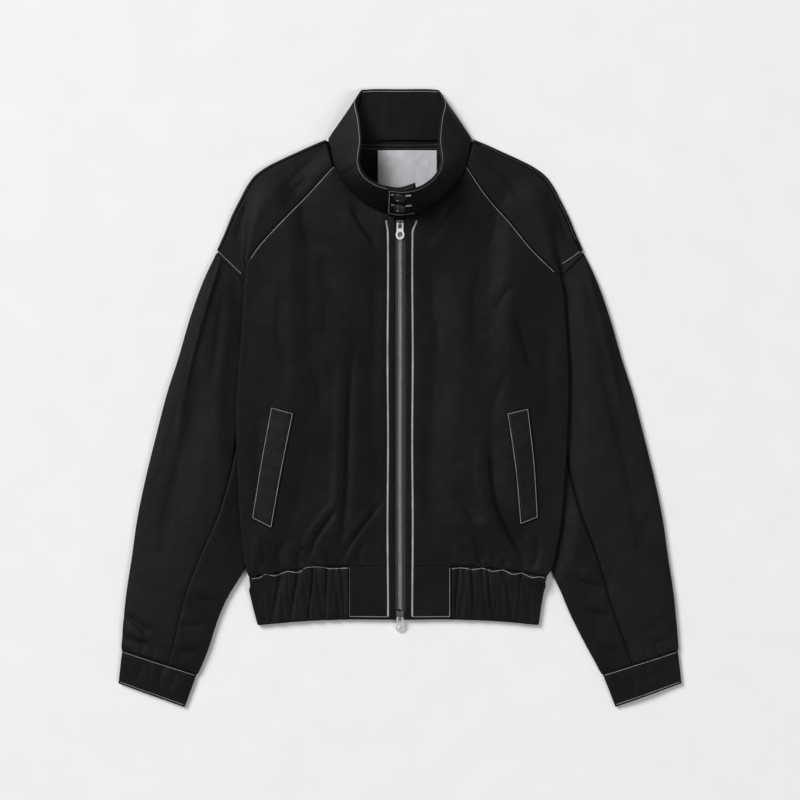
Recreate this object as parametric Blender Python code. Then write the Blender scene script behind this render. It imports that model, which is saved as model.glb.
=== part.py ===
"""Harrington jacket laid flat on its back, zipped to the neck, with its collar buttoned.

The zip runs along Y at X = 0 and the collar points to +Y. The floor is Z = 0. The wearer's
right side is at -X. Lengths in the tables are millimetres; every mesh is built in metres.
"Out" in a table is the distance from the zip, the same on both sides unless two are given.
"""
import math
from collections import namedtuple

import bmesh
import bpy
import numpy as np
from mathutils import Vector
from mathutils.bvhtree import BVHTree

MM = 0.001
SIDES = {"right": -1, "left": 1}

# Thicknesses and gaps
CLOTH = 1.5            # twill shell with its lining
CUFF_CLOTH = 2.0       # folded double
COLLAR_CLOTH = 3.0     # two layers and an interlining
TAPE_CLOTH = 1.0
LABEL_CLOTH = 1.0
WELT_CLOTH = 1.2
GAP = 0.3              # between neighbours

# Heights of the inner faces, from the floor
LIMB_CLEAR = 0.1       # the sleeves and cuffs just clear the floor
LIMB_TOP = 4.0         # under face of the sleeve's and the shoulder's upper layer
FRONT_TOP = 5.0        # under face of the front where it lies on the back
SLEEVE_RISE = 6.0      # how much higher it lies over a sleeve
NECK_RISE = 8.0        # how much higher it lies round the neck
UNDER_RISE = 6.9       # lower face of the body's turned-in side where it lies on a sleeve
NECK_Y = 305
ARMPIT = (150, 103)
SIDE_SEAM = 133        # out, on the underside
ZIP_EDGE = 7.3         # out, folded front edge beside the teeth
TAB_OUT = 69.5         # out, where the plain hem tab meets the gathered band

Level = namedtuple("Level", "y out")
Fold = namedtuple("Fold", "y right left")
Place = namedtuple("Place", "out y")
Across = namedtuple("Across", "outer_out outer_y inner_out inner_y")
Shoulder = namedtuple("Shoulder", "drop_from drop_to")
Station = namedtuple("Station", "base_out base_y base_z rim_out rim_y rim_z")
Corner = namedtuple("Corner", "upper_in upper_out lower_in lower_out")

# The body's side, where the front turns under
SIDE_FOLD = [
    Fold(185, 207.5, 210), Fold(142, 211, 221), Fold(100, 213, 224), Fold(37, 218, 228),
    Fold(-30, 221, 227), Fold(-105, 219, 223), Fold(-195, 213, 214), Fold(-231, 207.5, 207),
    Fold(-243, 202, 202), Fold(-306, 188, 190),
]
# The edge from which the body's side lies over the sleeve
SLEEVE_INNER = [
    Level(110, 150), Level(60, 148), Level(10, 150), Level(-45, 153), Level(-85, 157),
    Level(-135, 165), Level(-185, 180), Level(-215, 192), Level(-245, 194), Level(-264, 216),
    Level(-303, 246),
]
# The gathered band meets the body on a line that sags to the sides; its lower edge
BAND_Y = {"middle": -227, "side": -242}
HEM_LOW = [Place(0, -299), Place(70, -298.5), Place(127, -300.5), Place(190, -306)]
# Seam from the neck down to the side fold, neck edge of the front, and shoulder outline
RAGLAN = [Place(191, 204), Place(160, 238), Place(122, 277), Place(90, 312)]
NECK_FRONT = [
    Place(ZIP_EDGE, 244.3), Place(20, 247), Place(46, 259), Place(67, 277), Place(81, 294),
    Place(90, 312),
]
SHOULDER = [
    Place(100, 348.5), Place(116, 342), Place(138, 332), Place(162, 321), Place(182, 310.5),
    Place(197, 299), Place(204.5, 289), Place(216.5, 267), Place(227, 246), Place(236, 224),
    Place(247, 199),
]
BACK_NECK = Place(60, 348.2)     # where the back's neck edge stops being straight
DROP_SEAM = [Place(247, 197), Place(ARMPIT[0], ARMPIT[1])]
HIDDEN_DROP_SHARE = 0.46         # how far down that seam the shoulder piece is sewn on
# Across the sleeve, from its outer edge to its inner edge, from the shoulder to the cuff seam
SLEEVE = [
    Across(247.5, 196, 150, 103), Across(262, 164, 148, 60), Across(281, 112, 149, 10),
    Across(299, 51, 153, -45), Across(312, 11, 157, -85), Across(328, -50, 165, -135),
    Across(343, -111, 180, -185), Across(354, -165, 206, -232), Across(361, -215, 229, -268),
    Across(368.5, -265, 246, -303), Across(372.5, -305, 260, -342),
    Across(375.5, -339, 272.5, -372),
]
CUFF = [Across(375.8, -339.6, 272.8, -372.6), Across(381, -384, 289, -417)]
FRONT_SEAM_SHARE = 0.61   # of the way across the sleeve, on top
BACK_SEAM_SHARE = 0.45    # and underneath
SEAM_GAP_SHARE = 0.0012   # half the gap at both, as a share of the sleeve's width
SIDE_REACH = 3.0          # half the depth of the body's turned side
# Where the shoulder piece drops from the chest to the sleeve, as a share of its width
SHOULDER_DROP = [
    Shoulder(0.0, 1.0), Shoulder(0.05, 1.0), Shoulder(0.1, 1.0), Shoulder(0.25, 1.0),
    Shoulder(0.5, 1.0), Shoulder(0.45, 0.85), Shoulder(0.25, 0.55), Shoulder(0.04, 0.2),
]
# Middle surface of the standing collar, from the middle of the front to that of the back
COLLAR = [
    Station(0, 246.5, 15.0, 0, 275.5, 69), Station(20, 249.5, 15.0, 18, 277.5, 68.5),
    Station(44.5, 261.4, 14.8, 35.5, 284.5, 67), Station(65.3, 278.7, 14.6, 49, 297.5, 63),
    Station(79, 295, 14.0, 54, 312, 55), Station(88, 313, 12.8, 51.5, 343, 42),
    Station(92.3, 335, 9.5, 54, 373, 28), Station(94.2, 350.5, 4.6, 58, 402, 12),
    Station(86, 352, 2.6, 52, 413.5, 4.6), Station(60, 349.9, 1.7, 46, 415.8, 2.4),
    Station(0, 349.9, 1.5, 0, 416.4, 1.8),
]
COLLAR_LAP = 1.75      # each of the two lapped ends stands this far from the middle surface
COLLAR_ENDS = {"under": 24, "over": -17.5}
COLLAR_ROWS = 5
BUTTON_SHARES = {"lower": 0.40, "upper": 0.80}   # of the collar's height
BUTTON_X = -1.0
BUTTON_RADIUS = 8.5
BUTTON_HIGH = 2.8
# Pocket welts
WELT = {
    "right": Corner(Place(145, -21), Place(173, -13), Place(175, -174), Place(199, -162)),
    "left": Corner(Place(146, -21), Place(173, -15), Place(163, -170), Place(186, -160)),
}
LABEL = {"x": (-30, 50), "y": (278, 334)}
# Zip
TEETH_HALF = 3.0
TEETH_HIGH = 2.2
TEETH_SINK = 0.7       # their middle below the front's under face
TEETH_CLEAR = {"bottom": 3.0, "top": 1.0}        # of the pull tabs' pivots
TAPE_OUT = 17.0
ZIP_Y = (-297, 238)
SLIDER_HALF = 4.7
SLIDER_LONG = 11.5
PLATE_HIGH = 1.2
UNDER_PLATE = 1.0
POST_LONG = 0.8
SLIDER_PAST = {"top": 5.0, "bottom": 2.3}        # how far each reaches past its pivot
ARCH_HALF = 1.2
ARCH_REACH = 2.4
PIVOT_HIGH = 1.8       # above the slider's top plate
TAB_HIGH = 1.4
TAB_HALF = 4.4
RING = {"centre": -14.6, "half": 5.8, "long": 6.6, "hole_half": 3.3, "hole_long": 3.9}
SLOT = {"half": 2.6, "from": -0.8, "to": -6.6}
PIVOTS = {"top": 234.0, "bottom": -296.0}
TAB_DROOP = {"top": 6.0, "bottom": 20.0}         # degrees below level, at rest
ROUND_STEPS = 24
# Rows of the front along its side and along the raglan seam
SIDE_ROWS = 15
RAGLAN_ROWS = 7
FRONT_ROWS = SIDE_ROWS + RAGLAN_ROWS


# ---------------------------------------------------------------- small tools
def clear_scene():
    for item in list(bpy.data.objects):
        bpy.data.objects.remove(item, do_unlink=True)


def make_material(name, colour, roughness, metallic=0.0):
    material = bpy.data.materials.new(name)
    material.use_nodes = True
    shader = material.node_tree.nodes["Principled BSDF"]
    shader.inputs["Base Color"].default_value = (*colour, 1.0)
    shader.inputs["Roughness"].default_value = roughness
    shader.inputs["Metallic"].default_value = metallic
    return material


def smooth(value, low, high):
    share = min(1.0, max(0.0, (value - low) / (high - low)))
    return share * share * (3 - 2 * share)


def mix(start, end, share):
    return start + (end - start) * share


def read(table, key, at, column):
    rows = sorted(table, key=lambda row: getattr(row, key))
    places = [getattr(row, key) for row in rows]
    return float(np.interp(at, places, [getattr(row, column) for row in rows]))


def even(points, count):
    """The same number of steps of equal length along a line in plan."""
    line = np.array([(point[0], point[1]) for point in points], dtype=float)
    steps = np.hypot(*np.diff(line, axis=0).T)
    along = np.concatenate(([0.0], np.cumsum(steps)))
    wanted = np.linspace(0.0, along[-1], count)
    return list(zip(np.interp(wanted, along, line[:, 0]), np.interp(wanted, along, line[:, 1])))


def moved_in(points, distance, centre):
    """A line in plan moved sideways, to the side that the centre is on."""
    line = [Vector((point[0], point[1])) for point in points]
    result = []
    for index, point in enumerate(line):
        along = line[min(index + 1, len(line) - 1)] - line[max(index - 1, 0)]
        across = Vector((-along.y, along.x)).normalized()
        if across.dot(Vector(centre) - point) < 0:
            across.negate()
        result.append(tuple(point + across * distance))
    return result


def patch_between(low, high, start, end):
    """Rows of a surface stretched between four lines in plan that share their corners."""
    rows = []
    for i in range(len(start)):
        v = i / (len(start) - 1)
        row = []
        for j in range(len(low)):
            u = j / (len(low) - 1)
            place = []
            for axis in (0, 1):
                ruled = mix(low[j][axis], high[j][axis], v) + mix(start[i][axis], end[i][axis], u)
                corners = mix(mix(low[0][axis], low[-1][axis], u),
                              mix(high[0][axis], high[-1][axis], u), v)
                place.append(ruled - corners)
            row.append(tuple(place))
        rows.append(row)
    return rows


def turn(out, y, z_from, z_to, outward=(1, 0), steps=4):
    """Points of a half turn of cloth, from one layer to the other, after the first one."""
    radius = abs(z_from - z_to) / 2
    middle = (z_from + z_to) / 2
    points = []
    for step in range(1, steps + 1):
        angle = math.pi * step / steps
        reach = radius * math.sin(angle)
        points.append((out + outward[0] * reach, y + outward[1] * reach,
                       middle + (z_from - middle) * math.cos(angle)))
    return points


def cloth(name, patches, material, thickness=CLOTH, offset=1.0, faces_up=True, even_wall=True):
    """A closed wall: a welded sheet of patches, thickened on the side its first face shows."""
    bm = bmesh.new()
    for rows in patches:
        grid = [[bm.verts.new(Vector(point) * MM) for point in row] for row in rows]
        for lower, upper in zip(grid, grid[1:]):
            for j in range(len(lower) - 1):
                bm.faces.new((lower[j], lower[j + 1], upper[j + 1], upper[j]))
    bmesh.ops.remove_doubles(bm, verts=bm.verts, dist=0.02 * MM)
    bmesh.ops.recalc_face_normals(bm, faces=bm.faces)
    bm.faces.ensure_lookup_table()
    bm.normal_update()
    if (bm.faces[0].normal.z > 0) != faces_up:
        bmesh.ops.reverse_faces(bm, faces=bm.faces)
    item = new_object(name, bm, material)
    wall = item.modifiers.new("wall", "SOLIDIFY")
    wall.thickness = thickness * MM
    wall.offset = offset
    wall.use_even_offset = even_wall
    return item


def new_object(name, bm, material, rounded=True):
    mesh = bpy.data.meshes.new(name)
    bm.to_mesh(mesh)
    bm.free()
    mesh.materials.append(material)
    if rounded:
        mesh.shade_smooth()
        mesh.set_sharp_from_angle(angle=math.radians(40))
    item = bpy.data.objects.new(name, mesh)
    bpy.context.scene.collection.objects.link(item)
    return item


def mirrored(rows, side):
    return [[(point[0] * SIDES[side], point[1], point[2]) for point in row] for row in rows]


def mirrored_all(patches, side):
    return [mirrored(rows, side) for rows in patches]


# ---------------------------------------------------------------- heights of the layers
def sleeve_inner(y):
    return read(SLEEVE_INNER, "y", y, "out")


def fold_out(y, side):
    return read(SIDE_FOLD, "y", y, side)


def band_top(out):
    """Where the hem meets the body: level beside the zip, lower to the sides."""
    share = max(0.0, (out - TAB_OUT) / (202 - TAB_OUT))
    return mix(BAND_Y["middle"], BAND_Y["side"], share * share)


def top_height(out, y):
    """Under face of the body's upper layer."""
    inner = sleeve_inner(y)
    over_sleeve = SLEEVE_RISE * smooth(out, inner - 32, inner + 2)
    from_neck = math.hypot(out, y - NECK_Y)
    at_neck = NECK_RISE * (1 - smooth(from_neck, 88, 165)) * (1 - 0.7 * smooth(y, 290, 350))
    return FRONT_TOP + max(over_sleeve, at_neck)


def under_height(out, y):
    """Upper face of the body's lower layer, which climbs over the sleeve's inner edge."""
    inner = sleeve_inner(y)
    return CLOTH + UNDER_RISE * smooth(out, inner - 14, inner - 1)


def raglan_line(side):
    """The raglan seam, from the side fold up to the neck."""
    start = (fold_out(185, side) - SIDE_REACH, 185)
    return even([start] + RAGLAN, RAGLAN_ROWS + 1)


def side_turn(out, y):
    return turn(out, y, top_height(out, y), under_height(out, y))


# ---------------------------------------------------------------- body
def build_front(side, material):
    columns = 10
    low_side = band_top(fold_out(-241, side)) + GAP
    side_line = []
    for i in range(SIDE_ROWS):
        y = mix(low_side, 185, i / (SIDE_ROWS - 1))
        side_line.append((fold_out(y, side) - SIDE_REACH, y))
    outer = side_line + raglan_line(side)[1:]
    zip_low = band_top(0) + GAP
    inner = [(ZIP_EDGE, mix(zip_low, NECK_FRONT[0].y, i / (FRONT_ROWS - 1)))
             for i in range(FRONT_ROWS)]
    low = []
    for j in range(columns):
        out = mix(ZIP_EDGE, outer[0][0], j / (columns - 1))
        low.append((out, band_top(out) + GAP))
    low[0] = inner[0]
    low[-1] = outer[0]
    plan = patch_between(low, even(NECK_FRONT, columns), inner, outer)
    top = [[(out, y, top_height(out, y)) for out, y in row] for row in plan]
    under = []
    for row in top[:SIDE_ROWS]:
        out, y, _ = row[-1]
        points = [row[-1]] + side_turn(out, y)
        seam = max(SIDE_SEAM + smooth(y, 85, 103) * (ARMPIT[0] - SIDE_SEAM),
                   mix(ARMPIT[0], 203, (y - ARMPIT[1]) / 82))
        seam = min(seam, out - 4)
        edge = sleeve_inner(y)
        stops = [edge + 8, edge - 1, edge - 5, edge - 9.5, edge - 14]
        low_share = 1 - smooth(y, low_side, low_side + 140)
        previous = out
        for number, stop in enumerate(stops + [seam]):
            left = len(stops) - number
            stop = max(seam + left * 0.6, min(stop, previous - 0.6))
            lift = (band_top(stop) - band_top(out)) * low_share
            points.append((stop, y + lift, under_height(stop, y)))
            previous = stop
        under.append(points)
    return cloth("front_" + side, mirrored_all([top, under], side), material)


def build_shoulder(side, material):
    """The front shoulder piece, between the raglan seam and the shoulder seam."""
    columns = 9
    inner = list(reversed(moved_in(raglan_line(side), 2 * GAP, (220, 320))))
    outer = moved_in(even(SHOULDER, len(SHOULDER_DROP)), 4.9, (120, 250))
    outer[0] = (outer[0][0] - 0.5, outer[0][1] - 0.5)
    outer[-1] = (outer[-1][0], outer[-1][1] + 2.0)
    rows = []
    for i, drop in enumerate(SHOULDER_DROP):
        row = []
        for j in range(columns):
            share = j / (columns - 1)
            out = mix(inner[i][0], outer[i][0], share)
            y = mix(inner[i][1], outer[i][1], share)
            high = top_height(inner[i][0], inner[i][1])
            down = smooth(share, drop.drop_from, drop.drop_to)
            row.append((out, y, mix(high, LIMB_TOP, down)))
        rows.append(row)
    first = 3            # the columns before this one lie under the front
    drop_line = moved_in(DROP_SEAM, GAP, (100, 300))
    drop_line[0] = (drop_line[0][0] - 2.2, drop_line[0][1] - 1.8)
    foot = []
    for j in range(first, columns):
        share = mix(HIDDEN_DROP_SHARE, 0.0, (j - first) / (columns - 1 - first))
        foot.append((mix(drop_line[0][0], drop_line[1][0], share),
                     mix(drop_line[0][1], drop_line[1][1], share), LIMB_TOP))
    hidden = [rows[-1][first:], foot]
    return cloth("shoulder_" + side, mirrored_all([rows, hidden], side), material)


def build_back(material):
    """The back, turned up round the shoulders to meet the shoulder pieces on top."""
    reach = CLOTH + (LIMB_TOP - CLOTH) / 2
    half_columns = 12
    neck_columns = 5
    edge = moved_in(even(SHOULDER, len(SHOULDER_DROP)), reach, (120, 250))
    neck = even([(0, BACK_NECK.y), (BACK_NECK.out, BACK_NECK.y), edge[0]], neck_columns)
    top_half = neck + edge[1:]
    top = [(-out, y) for out, y in reversed(top_half[1:])] + top_half
    side = [(SIDE_SEAM - GAP, band_top(SIDE_SEAM) + GAP), (SIDE_SEAM - GAP, 85),
            (ARMPIT[0] - 1, ARMPIT[1] + 0.6), edge[-1]]
    right_line = even(side[:2], 7) + even(side[1:3], 2)[1:] + even(side[2:], 5)[1:]
    left_line = [(-out, y) for out, y in right_line]
    low = []
    for j in range(len(top)):
        x = mix(left_line[0][0], right_line[0][0], j / (len(top) - 1))
        low.append((x, band_top(abs(x)) + GAP))
    plan = patch_between(low, top, left_line, right_line)
    floor = [[(x, y, CLOTH) for x, y in row] for row in plan]
    patches = [floor]
    middle = half_columns - 1
    for sign in (-1, 1):
        rolled = []
        for k in range(neck_columns - 1, half_columns):
            x, y, z = floor[-1][middle + sign * k]
            before = floor[-1][middle + sign * max(k - 1, neck_columns - 1)]
            after = floor[-1][middle + sign * min(k + 1, half_columns - 1)]
            along = Vector((after[0] - before[0], after[1] - before[1])).normalized()
            outward = Vector((-along.y, along.x))
            if outward.y < 0:
                outward.negate()
            points = [(x, y, z)] + turn(x, y, CLOTH, LIMB_TOP, outward)
            last = points[-1]
            points.append((last[0] - outward.x, last[1] - outward.y, LIMB_TOP))
            rolled.append(points)
        patches.append(rolled)
    return cloth("back", patches, material, faces_up=False)


# ---------------------------------------------------------------- sleeves and cuffs
def limb_rows(table, side, start, finish, thickness, round_outer):
    """Inner face of a flattened tube, from one share of its width on top, round its outer
    or its inner edge, to another share of its width underneath."""
    rows = []
    for across in table:
        outer = Vector((across.outer_out, across.outer_y))
        inner = Vector((across.inner_out, across.inner_y))
        low_inner = thickness + LIMB_CLEAR
        reach = thickness + (LIMB_TOP - low_inner) / 2
        edge_share = reach / (inner - outer).length
        outward = (outer - inner).normalized()
        if not round_outer:
            edge_share = 1 - edge_share
            outward.negate()
        row = []
        for j in range(6):
            share = mix(start, edge_share, j / 5)
            spot = outer.lerp(inner, share)
            row.append((spot.x, spot.y, LIMB_TOP))
        spot = outer.lerp(inner, edge_share)
        row += turn(spot.x, spot.y, LIMB_TOP, low_inner, outward)
        for j in range(1, 4):
            spot = outer.lerp(inner, mix(edge_share, finish, j / 3))
            row.append((spot.x, spot.y, low_inner))
        rows.append(row)
    return mirrored(rows, side)


def build_sleeve(side, material):
    for name, sign in (("sleeve_upper_", -1), ("sleeve_under_", 1)):
        rows = limb_rows(SLEEVE, side, FRONT_SEAM_SHARE + sign * SEAM_GAP_SHARE,
                         BACK_SEAM_SHARE + sign * SEAM_GAP_SHARE, CLOTH, sign < 0)
        cloth(name + side, [rows], material)


def build_cuff(side, material):
    halves = [limb_rows(CUFF, side, 0.5, 0.5, CUFF_CLOTH, round_outer)
              for round_outer in (True, False)]
    cloth("cuff_" + side, halves, material, CUFF_CLOTH)


# ---------------------------------------------------------------- hem
def build_hem_tab(side, material):
    rows = []
    for i in range(4):
        row = []
        for j in range(5):
            out = mix(ZIP_EDGE, TAB_OUT - GAP / 2, j / 4)
            y = mix(band_top(out), read(HEM_LOW, "out", out, "y"), i / 3)
            row.append((out, y, top_height(out, y)))
        rows.append(row)
    cloth("hem_tab_" + side, [mirrored(rows, side)], material)


def band_side(share, side):
    """Half of the gathered band at a share of its depth: from the hem tab, round the side,
    to the middle of the back."""
    def level(out):
        return mix(band_top(out) - 4 * GAP, read(HEM_LOW, "out", out, "y"), share)

    fold = 200.0
    for _ in range(4):
        fold = fold_out(level(fold), side)
    edge = fold - 2.5
    points = []
    for j in range(8):
        out = mix(TAB_OUT + GAP / 2, edge, j / 7)
        points.append((out, level(out), top_height(out, level(out))))
    points += side_turn(edge, level(edge))
    for j in range(1, 9):
        out = mix(edge, 0, j / 8)
        points.append((out, level(out), under_height(out, level(out))))
    return points


def build_hem_band(material):
    rows = []
    for i in range(5):
        right = mirrored([band_side(i / 4, "right")], "right")[0]
        left = band_side(i / 4, "left")
        rows.append(right + list(reversed(left))[1:])
    cloth("hem_band", [rows], material)


# ---------------------------------------------------------------- what lies on the panels
def build_welt(side, front, material):
    """A pocket welt, its under face just clear of the front's own surface."""
    steps = 21
    surface = BVHTree.FromObject(front, bpy.context.evaluated_depsgraph_get())
    corner = WELT[side]
    rows = []
    for i in range(steps + 1):
        row = []
        for j in range(5):
            out = mix(mix(corner.upper_in.out, corner.lower_in.out, i / steps),
                      mix(corner.upper_out.out, corner.lower_out.out, i / steps), j / 4)
            y = mix(mix(corner.upper_in.y, corner.lower_in.y, i / steps),
                    mix(corner.upper_out.y, corner.lower_out.y, i / steps), j / 4)
            above = Vector((out * SIDES[side], y, 100)) * MM
            hit = surface.ray_cast(above, Vector((0, 0, -1)))[0]
            row.append((out * SIDES[side], y, hit.z / MM + 2 * GAP))
        rows.append(row)
    cloth("pocket_welt_" + side, [rows], material, WELT_CLOTH)


def build_label(material):
    rows = [[(mix(*LABEL["x"], j / 3), mix(*LABEL["y"], i / 3), CLOTH + GAP)
             for j in range(4)] for i in range(4)]
    cloth("neck_label", [rows], material, LABEL_CLOTH)


# ---------------------------------------------------------------- collar
def station_at(out):
    """A place on the collar's front, by its distance from the middle."""
    near = COLLAR[:3]
    return [read(near, "base_out", abs(out), column) for column in Station._fields]


def collar_outward():
    """The way that the front of the collar faces."""
    front = COLLAR[0]
    rise = Vector((0, front.rim_y - front.base_y, front.rim_z - front.base_z)).normalized()
    return Vector((0, -rise.z, rise.y)), rise


def build_collar(material):
    outward, rise = collar_outward()
    lapped = [COLLAR_LAP, COLLAR_LAP / 3] + [0.0] * len(COLLAR)
    line = []
    for x in (COLLAR_ENDS["under"], 12.0, 0.0):
        lift = 6.0 * smooth(x, 0, COLLAR_ENDS["under"])
        line.append((1 if x > 0 else -1, station_at(x), -COLLAR_LAP, lift))
    for number, row in enumerate(COLLAR[1:]):
        line.append((-1, list(row), -lapped[number], 0))
    for number, row in reversed(list(enumerate(COLLAR[1:-1]))):
        line.append((1, list(row), lapped[number], 0))
    for x in (0.0, COLLAR_ENDS["over"]):
        line.append((-1, station_at(x), COLLAR_LAP, 0))
    columns = []
    for sign, place, lap, lift in line:
        base = Vector((sign * place[0], place[1], place[2]))
        rim = Vector((sign * place[3], place[4], place[5])) + rise * lift
        columns.append([tuple(base.lerp(rim, i / (COLLAR_ROWS - 1)) + outward * lap)
                        for i in range(COLLAR_ROWS)])
    cloth("collar", [columns], material, COLLAR_CLOTH, offset=0.0, even_wall=False)


def build_button(name, share, material):
    outward, _ = collar_outward()
    front = COLLAR[0]
    base = Vector((0, front.base_y, front.base_z))
    rim = Vector((0, front.rim_y, front.rim_z))
    seat = base.lerp(rim, share) + outward * (COLLAR_LAP + COLLAR_CLOTH / 2 + GAP)
    high = BUTTON_HIGH
    soft = 0.7           # its rounded edges
    rim_wide = 2.0
    dish = 0.8
    profile = [(BUTTON_RADIUS - soft, 0), (BUTTON_RADIUS, soft), (BUTTON_RADIUS, high - soft),
               (BUTTON_RADIUS - soft, high), (BUTTON_RADIUS - rim_wide, high),
               (BUTTON_RADIUS - rim_wide - soft, high - dish)]
    bm = bmesh.new()
    rings = []
    for radius, z in profile:
        ring = []
        for step in range(ROUND_STEPS):
            angle = 2 * math.pi * step / ROUND_STEPS
            ring.append(bm.verts.new(Vector((radius * math.cos(angle),
                                             radius * math.sin(angle), z)) * MM))
        rings.append(ring)
    for lower, upper in zip(rings, rings[1:]):
        for step in range(ROUND_STEPS):
            after = (step + 1) % ROUND_STEPS
            bm.faces.new((lower[step], lower[after], upper[after], upper[step]))
    bm.faces.new(list(reversed(rings[0])))
    bm.faces.new(rings[-1])
    button = new_object(name, bm, material)
    button.location = Vector((BUTTON_X, seat.y, seat.z)) * MM
    button.rotation_euler = outward.to_track_quat("Z", "Y").to_euler()


# ---------------------------------------------------------------- zip
def zip_profile():
    """Under face of the front along the zip, at the rows that the fronts have there."""
    low = band_top(0) + GAP
    levels = [mix(low, NECK_FRONT[0].y, i / (FRONT_ROWS - 1)) for i in range(FRONT_ROWS)]
    levels = [y for y in levels if ZIP_Y[0] < y < ZIP_Y[1]]
    return [(y, top_height(ZIP_EDGE, y)) for y in [ZIP_Y[0]] + levels + [ZIP_Y[1]]]


def zip_height(y):
    profile = zip_profile()
    return float(np.interp(y, [spot[0] for spot in profile], [spot[1] for spot in profile]))


def teeth_middle(y):
    return zip_height(y) - TEETH_SINK


def build_tape(side, material):
    rows = []
    for y, high in zip_profile():
        low_face = high - 2 * GAP - TAPE_CLOTH
        rows.append([(mix(TEETH_HALF + GAP, TAPE_OUT, j / 2), y, low_face) for j in range(3)])
    cloth("zip_tape_" + side, [mirrored(rows, side)], material, TAPE_CLOTH)


def build_teeth(material):
    """The closed chain of teeth, between the two sliders' posts."""
    start = PIVOTS["bottom"] + TEETH_CLEAR["bottom"]
    finish = PIVOTS["top"] - TEETH_CLEAR["top"]
    levels = [start] + [y for y, _ in zip_profile() if start < y < finish] + [finish]
    bm = bmesh.new()
    rings = []
    for y in levels:
        middle = teeth_middle(y)
        corners = ((-1, -1), (1, -1), (1, 1), (-1, 1))
        rings.append([bm.verts.new(Vector((TEETH_HALF * cx, y, middle + TEETH_HIGH / 2 * cz)) * MM)
                      for cx, cz in corners])
    for near, far in zip(rings, rings[1:]):
        for k in range(4):
            after = (k + 1) % 4
            bm.faces.new((near[k], near[after], far[after], far[k]))
    bm.faces.new(list(reversed(rings[0])))
    bm.faces.new(rings[-1])
    bmesh.ops.recalc_face_normals(bm, faces=bm.faces)
    new_object("zip_teeth", bm, material, rounded=False)


def prism(name, outline, axis, low, high, material):
    """An outline pushed along an axis; its two columns are the other axes, in order."""
    bm = bmesh.new()
    others = [number for number in range(3) if number != axis]
    ends = []
    for level in (low, high):
        verts = []
        for first, second in outline:
            place = [0.0, 0.0, 0.0]
            place[axis] = level
            place[others[0]] = first
            place[others[1]] = second
            verts.append(bm.verts.new(Vector(place) * MM))
        ends.append(verts)
    bm.faces.new(ends[0])
    bm.faces.new(list(reversed(ends[1])))
    for k in range(len(outline)):
        after = (k + 1) % len(outline)
        bm.faces.new((ends[0][after], ends[0][k], ends[1][k], ends[1][after]))
    bmesh.ops.recalc_face_normals(bm, faces=bm.faces)
    return new_object(name, bm, material)


def combine(item, tool, operation):
    tool.hide_render = True
    tool.display_type = "WIRE"
    tool.parent = item
    change = item.modifiers.new(operation.lower(), "BOOLEAN")
    change.operation = operation
    change.object = tool


def pivot_high(which):
    top_plate = teeth_middle(PIVOTS[which]) + TEETH_HIGH / 2 + GAP + PLATE_HIGH
    return top_plate + PIVOT_HIGH


def build_slider(which, material):
    """Two plates round the teeth, joined by a post, with an arch that holds the pull tab."""
    end = 1 if which == "top" else -1
    pivot_y = PIVOTS[which]
    plate_top = pivot_high(which) - PIVOT_HIGH
    plate_low = plate_top - PLATE_HIGH
    under_top = teeth_middle(pivot_y) - TEETH_HIGH / 2 - GAP
    far = pivot_y + end * SLIDER_PAST[which]
    near = far - end * SLIDER_LONG
    post = far - end * POST_LONG
    outline = [(near, plate_top), (far, plate_top), (far, under_top - UNDER_PLATE),
               (near, under_top - UNDER_PLATE), (near, under_top), (post, under_top),
               (post, plate_low), (near, plate_low)]
    slider = prism("slider_" + which, outline, 0, -SLIDER_HALF, SLIDER_HALF, material)
    high = PIVOT_HIGH
    arch = [(-ARCH_REACH, -0.4 - high), (-ARCH_REACH, 1.6), (-1.7, 2.3), (1.7, 2.3),
            (ARCH_REACH, 1.6), (ARCH_REACH, -0.4 - high), (1.4, -0.4 - high), (1.4, 1.0),
            (1.0, 1.4), (-1.0, 1.4), (-1.4, 1.0), (-1.4, -0.4 - high)]
    pivot_z = plate_top + high
    hoop = prism("arch_" + which, [(pivot_y + y, pivot_z + z) for y, z in arch], 0,
                 -ARCH_HALF, ARCH_HALF, material)
    combine(slider, hoop, "UNION")


def build_pull_tab(which, material):
    """A flat loop round the slider's arch, with a ring at its free end. Its origin is on
    the axis it turns about."""
    outline = [(TAB_HALF, 0.8), (-TAB_HALF, 0.8)]
    first = math.degrees(math.acos(TAB_HALF / RING["half"]))
    for step in range(17):
        angle = math.radians(mix(180 - first, 360 + first, step / 16))
        outline.append((RING["half"] * math.cos(angle),
                        RING["centre"] + RING["long"] * math.sin(angle)))
    tab = prism("pull_tab_" + which, outline, 2, -TAB_HIGH / 2, TAB_HIGH / 2, material)
    slot = [(-SLOT["half"], SLOT["from"]), (SLOT["half"], SLOT["from"]),
            (SLOT["half"], SLOT["to"]), (-SLOT["half"], SLOT["to"])]
    combine(tab, prism("slot_" + which, slot, 2, -2, 2, material), "DIFFERENCE")
    hole = [(RING["hole_half"] * math.cos(2 * math.pi * k / 16),
             RING["centre"] + RING["hole_long"] * math.sin(2 * math.pi * k / 16))
            for k in range(16)]
    combine(tab, prism("hole_" + which, hole, 2, -2, 2, material), "DIFFERENCE")
    tab.location = Vector((0, PIVOTS[which], pivot_high(which))) * MM
    tab.rotation_euler = (math.radians(TAB_DROOP[which]), 0, 0)


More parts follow.
